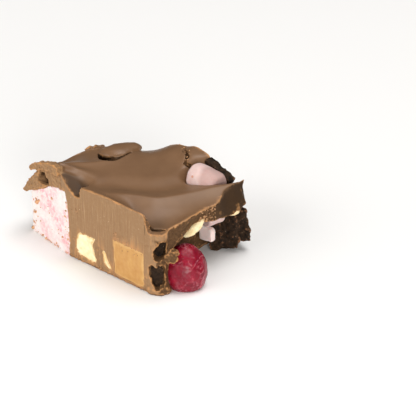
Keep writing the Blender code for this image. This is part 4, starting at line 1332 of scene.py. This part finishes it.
def miniTop():
    # a small marshmallow whose right end is pressed down
    mesh = drum(**miniTopPlace, squash=0.94)
    longEdges = [edge for edge in mesh.edges if edge.calc_length() > 3.0]
    bmesh.ops.subdivide_edges(mesh, edges=longEdges, cuts=14)
    for vert in mesh.verts:
        x, _, z = vert.co - Vector(miniTopPlace["centre"])
        past = max(0.0, x - 0.8 + 0.45 * z)
        vert.co.z -= 0.34 * past
        vert.co.y += 0.16 * past
    return mesh


def miniSide():
    # the square end of a small marshmallow that lies in the hollow on the right
    outline = softOutline(fronts["marshmallowMiniSide"], 0.4, 0.05, 3.0)
    return prism(outline, onFront, 27.9, 0.94, 25.8, layers=4)


def roundPiece(name, mesh, slot, node, lowest=0.02):
    grain, relief, voxel = reliefs[slot]
    obj = makeObject(name, mesh)
    fuse(obj, voxel)
    points, normals = readPoints(obj.data), readNormals(obj.data)
    points += normals * (relief * roughNoise(points, grain, len(name) + 3, 4))[:, None]
    points[:, 2] = np.maximum(points[:, 2], lowest)
    writePoints(obj.data, points)
    thinOut(obj, triangles["round"])
    finishFilling(name, obj, slot, node)
    print(name, len(obj.data.polygons), "faces")


def rightChunk():
    # a lump with upright folds; its far end stands clear of the floor
    mesh = chunk(**biscuitRight)
    for vert in mesh.verts:
        x, y, z = vert.co
        outer = float(smoothStep(19.0, 23.0, x))
        fold = 1.0 - abs((y / 3.7 + 0.03 * z) % 1.0 - 0.5) * 4.0
        ridge = max(0.0, 1.0 - abs(y - 15.0) / 3.5)
        vert.co.x += outer * (1.0 * fold + 0.9 * ridge - 2.0 * float(smoothStep(6.0, 0.0, z)))
        vert.co.z = max(z, 3.4 * float(smoothStep(17.4, 18.8, y)))
    return mesh


# The jelly's beads: how many rows, the first row's angle, the step between rows, how close they
# stand, their size and the groove between them, then the depths in mm of its relief
beadRows = {"rows": 6, "first": 84, "step": 23.5, "around": 2.35, "size": 0.30, "groove": 0.13,
            "depth": 0.26, "grooveDepth": 0.06, "dents": 0.16, "scratch": 0.05, "inset": 0.15}

# Rings that are rubbed white: to the right and up, seen from the camera, and radius. More of them
# and the fine lines lie at random.
rubbedRings = ((-2.0, 5.2, 1.25), (0.4, 5.5, 1.0), (-3.7, 4.0, 0.95), (2.6, -0.9, 1.3), (4.4, 0.8, 1.1),
               (1.0, -2.8, 1.2), (4.0, -2.9, 1.15), (5.3, 2.6, 0.9), (-0.6, -4.4, 1.05), (2.2, 3.6, 1.15))
ringPlane = {"right": (0.737, 0.676, 0.0), "toward": (0.607, -0.663, 0.25), "more": 12, "lines": 16}


def beadAngles(unit):
    # the angles from each direction to the nearest bead and to the next one
    beads = []
    for row in range(beadRows["rows"]):
        lift = radians(beadRows["first"] - row * beadRows["step"])
        count = max(1, round(2 * np.pi * cos(lift) * beadRows["around"]))
        for i in range(count):
            turn = 2 * np.pi * (i + 0.5 * (row % 2)) / count + 0.3
            beads.append((cos(lift) * cos(turn), cos(lift) * sin(turn), sin(lift)))
    apart = np.sort(np.arccos(np.clip(unit @ np.array(beads).T, -1, 1)), axis=1)
    return apart[:, 0], apart[:, 1]


def scratchMask(points, out):
    # rings and fine lines that are rubbed white, and pale patches near the foot
    scratches = np.zeros(len(points))
    draw = np.random.default_rng(8)
    right, toward = np.array(ringPlane["right"]), np.array(ringPlane["toward"])
    centres = [(right * a + np.array((0, 0, b)) + toward * 5.0, radius) for a, b, radius in rubbedRings]
    for _ in range(ringPlane["more"]):
        centres.append((draw.normal(size=3) * (5, 5, 3.5), draw.uniform(0.8, 1.5)))
    for centre, radius in centres:
        centre = points[np.argmin(np.linalg.norm(out - centre / np.linalg.norm(centre), axis=1))]
        away = (np.abs(points - centre) ** 2.6).sum(axis=1) ** (1 / 2.6)
        line = smoothStep(0.26, 0.04, np.abs(away - radius - 0.32 * softNoise(points, 1.7, 53)))
        scratches = np.maximum(scratches, 0.8 * line * smoothStep(-0.25, 0.45, softNoise(points, 1.5, 54)))
    for _ in range(ringPlane["lines"]):
        normal = draw.normal(size=3)
        normal /= np.linalg.norm(normal)
        middle, reach = points[draw.integers(len(points))], draw.uniform(1.5, 4.0)
        away = np.abs((points - middle) @ normal + 0.3 * softNoise(points, 2.2, 55))
        line = away < draw.uniform(0.05, 0.12)
        scratches = np.maximum(scratches, line * (np.linalg.norm(points - middle, axis=1) < reach))
    patches = smoothStep(0.25, 0.75, roughNoise(points, 2.6, 56, 3)) * smoothStep(2.0, -4.0, points[:, 2])
    return np.maximum(scratches, 0.35 * patches)


def jellyPiece():
    # a soft dome with a flat foot, faintly beaded like the fruit
    mesh = bmesh.new()
    bmesh.ops.create_uvsphere(mesh, u_segments=280, v_segments=180, radius=1)
    obj = makeObject("raspberryJelly", mesh)
    points = readPoints(obj.data)
    level = (points[:, 2] + 1) / 2
    points[:, :2] *= (1 - jelly["narrows"] * level ** 2)[:, None]
    halfHeight = jelly["height"] / (1 + jelly["foot"])
    nearest, second = beadAngles(points / np.linalg.norm(points, axis=1)[:, None])
    groove = smoothStep(beadRows["groove"], 0.0, second - nearest)
    dome = np.sqrt(np.clip(1 - (nearest / beadRows["size"]) ** 2, 0, 1))
    radius = jelly["radius"] - beadRows["inset"]
    points *= (radius, radius, halfHeight - beadRows["inset"])
    out = points / np.linalg.norm(points, axis=1)[:, None]
    worn = smoothStep(-0.5, 0.5, softNoise(points, 5.0, 50))
    relief = beadRows["depth"] * worn * (dome - 0.5) - beadRows["grooveDepth"] * groove * worn
    relief += beadRows["dents"] * roughNoise(points, 3.2, 51, 3)
    points += out * relief[:, None]
    scratches = scratchMask(points, out)
    points += out * (beadRows["scratch"] * scratches)[:, None]
    lowest = -halfHeight * jelly["foot"]
    points[:, 2] = np.maximum(points[:, 2], lowest) - lowest
    points[:, :2] += jelly["at"]
    writePoints(obj.data, points)
    writeMask(obj.data, "scratch", scratches)
    # the groove mask carries painted shade between the beads
    writeMask(obj.data, "groove", groove * worn)
    finishPiece(obj, finishes["raspberry_jelly"], ["raspberry_jelly"])
    print("raspberryJelly", len(obj.data.polygons), "faces")


def scatterCrumbs(name, places, sizes, seed, material):
    # small broken grains, one mesh
    draw = np.random.default_rng(seed)
    mesh = bmesh.new()
    for place, size in zip(places, sizes):
        made = bmesh.ops.create_icosphere(mesh, subdivisions=2, radius=1)["verts"]
        scale = draw.uniform(0.45, 1.1, 3) * size
        turn = Matrix.Rotation(draw.uniform(0, 6.28), 3, Vector(draw.normal(size=3)))
        for vert in made:
            bump = 1 + 0.75 * noise.noise(vert.co * 1.9 + Vector(place) * 3.0)
            vert.co = turn @ Vector([c * s * bump for c, s in zip(vert.co, scale)]) + Vector(place)
        lowest = min(vert.co.z for vert in made)
        if lowest < 0.01:   # it rests on the floor
            bmesh.ops.translate(mesh, vec=(0, 0, 0.01 - lowest), verts=made)
    obj = makeObject(name, mesh)
    finishPiece(obj, material)
    print(name, len(obj.data.polygons), "faces")


# Larger crumbs on the marshmallow: across, height and size
largeSpots = ((-31.2, 1.2, 0.62), (-18.9, 16.1, 0.45), (-29.2, 7.4, 0.5), (-30.6, 3.6, 0.4),
              (-25.1, 0.9, 0.5), (-23.6, 0.5, 0.6), (-17.5, 1.3, 0.4), (-11.5, 12.9, 0.5),
              (-10.8, 15.1, 0.45), (-10.5, 5.6, 0.5), (-13.7, 4.9, 0.45), (-16.1, 6.5, 0.3),
              (-27.7, 11.5, 0.85), (-26.9, 12.3, 0.55), (-28.4, 12.4, 0.5))


def marshmallowCrumbs():
    draw = np.random.default_rng(12)
    spots = list(largeSpots)
    for _ in range(16):   # along the border with the chocolate
        spots.append((-10.3 - abs(draw.normal()) * 0.8, draw.uniform(0.6, 19), draw.uniform(0.10, 0.34)))
    for _ in range(16):   # over the left of the face
        spots.append((-31.0 + abs(draw.normal()) * 2.4, draw.uniform(0.6, 12.5), draw.uniform(0.10, 0.36)))
    for _ in range(12):   # along its foot
        spots.append((draw.uniform(-31, -11), draw.uniform(0.25, 0.7), draw.uniform(0.10, 0.28)))
    for _ in range(16):   # down the streak
        along = draw.uniform(0, 1)
        spots.append((-27 + 14 * along + draw.normal() * 1.2, 14.5 - 11 * along + draw.normal() * 1.2,
                      draw.uniform(0.08, 0.22)))
    places = [onTurned(x, z, -0.03) for x, z, _ in spots]
    scatterCrumbs("marshmallowCrumbs", places, [size for _, _, size in spots], 13, finishes["meltedCrumb"])


def crackCrumbs():
    # grains along the upper part of the crack, and on the burr beside the curl
    draw = np.random.default_rng(33)
    places, sizes = [], []
    for x, y, _, _, _ in alongPath(crack, 60)[2:44:3]:
        at = np.array((x, y)) + draw.normal(size=2) * 0.6
        places.append((*at, float(topHeight(at[:1], at[1:])[0]) + 0.02))
        sizes.append(draw.uniform(0.10, 0.36))
    for _ in range(26):
        along = np.array((0.37, 0.93)) * draw.normal() * 2.0
        at = np.array(burrPlace["centre"][:2]) + along + draw.normal(size=2) * 0.3
        places.append((*at, float(topHeight(at[:1], at[1:])[0]) + 0.35))
        sizes.append(draw.uniform(0.12, 0.34))
    scatterCrumbs("crackCrumbs", places, sizes, 34, finishes["crumb"])


# Clusters of crumbs on the front: across, height, spread, how many, smallest and largest
clusters = (
    (-6.3, 16.6, 0.7, 16, 0.09, 0.22), (10.6, 13.9, 0.8, 26, 0.12, 0.30), (13.6, 13.0, 1.6, 12, 0.10, 0.24),
    (18.5, 12.7, 1.6, 12, 0.10, 0.22), (24.1, 15.0, 0.7, 5, 0.12, 0.22), (9.3, 1.0, 0.5, 8, 0.15, 0.34),
    (-7.6, 6.8, 0.4, 6, 0.10, 0.20), (15.5, 13.4, 0.4, 6, 0.10, 0.26), (3.0, 9.0, 3.5, 14, 0.06, 0.14),
    (17.0, 20.0, 4.0, 12, 0.05, 0.13), (2.0, 20.0, 4.0, 10, 0.05, 0.12),
)


def cutFaceCrumbs():
    draw = np.random.default_rng(14)
    places, sizes = [], []
    for x, z, spread, count, low, high in clusters:
        for _ in range(count):
            places.append(onFront(x + draw.normal() * spread, max(0.3, z + draw.normal() * spread), -0.02))
            sizes.append(draw.uniform(low, high))
    for _ in range(70):   # crumbs that cling to the lower edge
        x = draw.uniform(-10, 25)
        places.append(onFront(x, abs(draw.normal()) * 0.25 + 0.2, -0.08))
        sizes.append(draw.uniform(0.10, 0.32))
    scatterCrumbs("cutFaceCrumbs", places, sizes, 15, finishes["crumb"])


chocolateBlock()
cutFillings()
roundPiece("marshmallowMiniTop", miniTop(), "pink_marshmallow", "marshmallow_mini_top")
roundPiece("marshmallowStripSide", drum(**stripPlace), "pink_marshmallow", "marshmallow_strip_side")
roundPiece("marshmallowMiniSide", miniSide(), "pink_marshmallow", "marshmallow_mini_side")
roundPiece("peanutRight", pebble(**peanutRightPlace), "peanut", "peanut_right")
roundPiece("peanutTip", pebble(**peanutTipPlace), "peanut", "peanut_tip")
roundPiece("biscuitChunkRight", rightChunk(), "biscuit", "biscuit_chunk_right")
roundPiece("biscuitTopBack", chunk(**biscuitTop), "biscuit", "biscuit_top_back")
jellyPiece()
marshmallowCrumbs()
cutFaceCrumbs()
crackCrumbs()


# Stage, light and camera

view = {"azimuth": 42.5, "elevation": 26.0, "distance": 0.430, "aim": (-1.213, 31.942, 0.0),
        "pixelFocal": 1303.0, "pixels": 416, "sensor": 36.0}


def addCamera():
    turn, tilt = radians(view["azimuth"]), radians(view["elevation"])
    forward = Vector((-sin(turn) * cos(tilt), cos(turn) * cos(tilt), -sin(tilt)))
    camera = bpy.data.objects.new("camera", bpy.data.cameras.new("camera"))
    camera.data.sensor_width = view["sensor"]
    camera.data.lens = view["pixelFocal"] / view["pixels"] * view["sensor"]
    camera.data.clip_start = 0.01
    camera.location = Vector(view["aim"]) * 0.001 - forward * view["distance"]
    camera.rotation_euler = forward.to_track_quat("-Z", "Y").to_euler()
    bpy.context.scene.collection.objects.link(camera)
    bpy.context.scene.camera = camera


def addLight(name, at, aim, size, power, color):
    data = bpy.data.lights.new(name, "AREA")
    data.shape = "RECTANGLE"
    data.size, data.size_y = size
    data.energy = power
    data.color = color
    lamp = bpy.data.objects.new(name, data)
    lamp.location = at
    lamp.rotation_euler = (Vector(aim) - Vector(at)).to_track_quat("-Z", "Y").to_euler()
    bpy.context.scene.collection.objects.link(lamp)


paper = {"color": (0.90, 0.895, 0.885), "dark": (0.89, 0.885, 0.875), "light": (0.91, 0.905, 0.90),
         "rough": 0.85}
lamps = {   # place, aim, size, power and colour
    "key": ((-0.50, -1.65, 1.02), (0, 0, 0.01), (1.8, 0.9), 18.0, (1.0, 0.985, 0.96)),
    "side": ((0.95, -0.66, 0.30), (0.026, 0.004, 0.010), (0.40, 0.30), 8.0, (1.0, 0.985, 0.96)),
    "over": ((0.30, 0.40, 1.95), (0, 0.04, 0.02), (1.5, 1.2), 28.0, (1.0, 0.99, 0.98)),
}
studio = {"brightSide": (0.25, -0.55, 0.80), "dim": 0.10, "bright": 0.34, "color": (1.0, 0.99, 0.975, 1)}


def addStage():
    mesh = bmesh.new()
    bmesh.ops.create_grid(mesh, x_segments=8, y_segments=8, size=3)
    floor = makeObject("floor", mesh)
    floor.location.z = -0.00005
    material, tree, shader = startMaterial("paper", paper["color"], paper["rough"])
    tint = noiseValue(tree, addNode(tree, "ShaderNodeTexCoord").outputs["Object"], 3.0, 2.0)
    tree.links.new(mixColor(tree, tint, paper["dark"], paper["light"]), shader.inputs["Base Color"])
    floor.data.materials.append(material)
    addWorld()
    for name, (at, aim, size, power, color) in lamps.items():
        addLight(name, at, aim, size, power, color)


def addWorld():
    # bright above and in front, dimmer low behind, so that the poured top keeps its depth
    world = bpy.data.worlds.new("studio")
    bpy.context.scene.world = world
    world.use_nodes = True
    tree = world.node_tree
    toward = addNode(tree, "ShaderNodeTexCoord").outputs["Generated"]
    lit = addNode(tree, "ShaderNodeVectorMath", {"operation": "DOT_PRODUCT"}, _0=toward,
                  _1=studio["brightSide"]).outputs["Value"]
    strength = mixNumber(tree, rampValue(tree, lit, 0.0, 0.9), studio["dim"], studio["bright"])
    background = tree.nodes["Background"]
    background.inputs["Color"].default_value = studio["color"]
    tree.links.new(strength, background.inputs["Strength"])


addStage()
addCamera()
bpy.context.scene.view_settings.view_transform = "Standard"
print("stage set")
